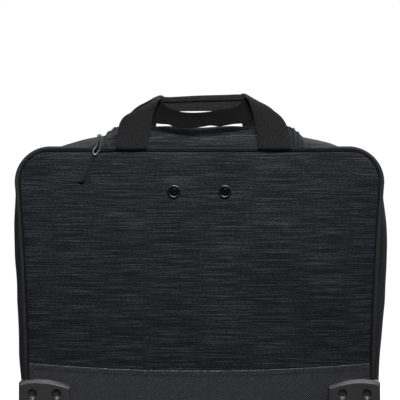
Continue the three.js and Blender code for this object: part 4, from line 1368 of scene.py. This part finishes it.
def slider(name, node, body, upright=False):
    """A zip slider: a shield-shaped top plate with a bridge for its pull, facing up, or +Y if upright."""
    node_box = Box(node)
    half = node_box.half
    a, b, c = (half.x, half.z, half.y) if upright else half

    def at(p, q, level):
        return node_box.middle + Vector((p, level, q) if upright else (p, q, level))

    rings = []
    for level, inset in ((-1, 0.25), (-0.8, 0), (-0.15, 0), (0.0, 0.3)):
        outline = rounded_rect(a - inset, b - inset, 1.3, 4)
        rings.append([at(p * (1 - 0.22 * p / a), q * (1 - 0.3 * max(0, p / a)), c * level)
                      for p, q in outline])
    shield = loft(f"{name}_shield", rings, ZINC)
    turns = [math.pi * k / 12 for k in range(13)]
    arch = [at(0.55 * a * math.cos(turn), 0, c * (0.05 + 0.9 * math.sin(turn))) for turn in turns]
    up = (0, 0, 1) if upright else (0, 1, 0)
    bridge = sweep(f"{name}_bridge", arch, rounded_rect(0.9, 0.5, 0.3, 2), ZINC, up=up)
    keep(joined(f"{name}_slider", [shield, bridge]), body, "nickel", node)


def pull(name, node, body, axes, flip=1):
    """A zip pull: a slim metal plate, broader at its free end, with an eye there.

    axes are the places of its length, width and thickness in (x, y, z).
    """
    node_box = Box(node)
    length, width, thick = (node_box.half[k] for k in axes)

    def at(*offsets):
        point = Vector(node_box.middle)
        for k, offset in zip(axes, offsets):
            point[k] += offset
        return point

    rings = []
    for level, inset in ((-1, 0.35), (-0.6, 0), (0.6, 0), (1, 0.35)):
        ring = []
        for k in range(40):
            c, s = math.cos(math.pi * k / 20), math.sin(math.pi * k / 20)
            p = (length - inset) * math.copysign(abs(c) ** 0.45, c)
            q = (width - inset) * math.copysign(abs(s) ** 0.6, s)
            ring.append(at(flip * p, q * (0.82 + 0.18 * p / length), thick * level))
        rings.append(ring)
    plate = loft(f"{name}_plate", rings, ZINC)
    turns = [math.pi * k / 12 for k in range(24)]
    eye = [at(flip * (length - 4.2) + 2.2 * math.cos(a), 1.5 * math.sin(a), thick) for a in turns]
    up = [float(k == axes[2]) for k in range(3)]
    ring = sweep(f"{name}_eye", eye, circle(0.35, 8), BLACK_METAL, closed=True, up=up)
    keep(joined(f"{name}_pull", [plate, ring]), body, "nickel", node)


def zip_hardware():
    for side, sign in SIDES:
        slider(f"main_{side}", f"main_slider_{side}", f"main_zip_{side}")
        pull(f"main_{side}", f"main_pull_{side}", f"{side}_pull", (0, 1, 2), sign)
    slider("pocket", "pocket_slider", "pocket_zip", upright=True)
    pull("pocket", "pocket_pull", "pocket_tab", (2, 0, 1), -1)


def hinge_strip():
    """The cloth that joins lid and case along the bottom."""
    reach = HALF_BOTTOM - CORNER_BOTTOM - 4

    def place(u, v, depth):
        return (-reach + 2 * reach * u, 46 + 12 * v, LID.low.z + 0.4 + 1.1 * depth)

    obj = slab("lid_hinge_strip", 90, 16, place, TWILL, (2 * reach, 12))
    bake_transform(obj)


def finish_plain_nodes():
    """The two trolley brackets stay as the CAD has them, in moulded plastic."""
    for name in ("upper_bracket", "lower_bracket"):
        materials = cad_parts[name].data.materials
        materials.clear()
        materials.append(PLASTIC)


# ------------------------------------------------------------------ stage, lights and camera


def floor():
    """A pale floor that fades out round the case, and is lit up to white behind it."""
    bpy.ops.mesh.primitive_plane_add(size=30, location=(0, 0, 0))
    plane = bpy.context.object
    plane.name = "floor"
    n = Nodes("floor_paper", Roughness=0.9, Specular_IOR_Level=0.0, Base_Color=(0.26, 0.26, 0.26, 1),
              Emission_Color=(1, 1, 1, 1))
    reach = add_node(n.tree, "ShaderNodeVectorMath", {0: n.place()}, operation="LENGTH")

    def rising(value, start, end):
        inputs = {"Value": value, "From Min": start, "From Max": end}
        ranged = add_node(n.tree, "ShaderNodeMapRange", inputs, interpolation_type="SMOOTHSTEP")
        return ranged.outputs["Result"]

    n.set("Emission_Strength", rising(n.split(n.place())[1], 0.14, 0.34))
    n.set("Alpha", n.math("SUBTRACT", 1.0, rising(reach.outputs["Value"], 0.45, 1.0)))
    plane.data.materials.append(n.material)


def surround():
    """A white backdrop for the camera that adds only a little light."""
    world = bpy.data.worlds.new("studio")
    world.use_nodes = True
    bpy.context.scene.world = world
    tree = world.node_tree
    path = add_node(tree, "ShaderNodeLightPath", {})
    inputs = {"Value": path.outputs["Is Camera Ray"], "To Min": 0.06, "To Max": 1.02}
    level = add_node(tree, "ShaderNodeMapRange", inputs)
    feed(tree, tree.nodes["Background"].inputs["Strength"], level.outputs["Result"])
    feed(tree, tree.nodes["Background"].inputs["Color"], (1, 1, 1, 1))


def softbox(name, place, aim, width, height, power, spread=180):
    data = bpy.data.lights.new(name, "AREA")
    data.shape = "RECTANGLE"
    data.size = width
    data.size_y = height
    data.energy = power
    data.spread = math.radians(spread)
    lamp = bpy.data.objects.new(name, data)
    lamp.location = place
    lamp.rotation_euler = (Vector(aim) - Vector(place)).to_track_quat("-Z", "Y").to_euler()
    bpy.context.scene.collection.objects.link(lamp)


def camera():
    """Level, in front of the back panel, and framed as the photo is."""
    distance, sensor, seen_width = 1.8, 36, 0.472
    data = bpy.data.cameras.new("camera")
    data.sensor_width = sensor
    data.lens = sensor * distance / seen_width
    made = bpy.data.objects.new("camera", data)
    made.location = (0.0006, BACK_Y * MM - distance, 0.288)
    made.rotation_euler = (math.pi / 2, 0, 0)
    bpy.context.scene.collection.objects.link(made)
    bpy.context.scene.camera = made


bpy.context.scene.view_settings.view_transform = "Standard"
floor()
surround()
softbox("key_softbox", (0.12, -0.56, 1.05), (0.02, -0.1, 0.47), 0.8, 0.35, 3.85, 70)
softbox("fill_softbox", (1.7, -0.7, 0.9), (0, 0, 0.25), 1.0, 1.2, 1.05)
softbox("left_softbox", (-1.7, -0.6, 1.0), (0, 0, 0.25), 1.0, 1.2, 1.3)
softbox("top_softbox", (0, 0.15, 1.9), (0, 0.05, 0.2), 2.0, 1.0, 19)
softbox("lid_softbox", (0.5, 1.9, 1.3), (0, 0, 0.2), 1.6, 1.2, 26)
camera()

back_panel()
guard_panel()
welts()
gusset()
hood()
rear_handle()
front_handle()
hood_pull()
eyelets()
for side_name, side_sign in SIDES:
    housing(side_name, side_sign)
    wheel(side_name)
trolley()
grip()
feet()
case_base()
divider()
sleeve()
lid_shell()
lid_slip_pocket()
front_pocket()
pocket_zip()
main_zip()
zip_hardware()
hinge_strip()
hood_zip()
finish_plain_nodes()
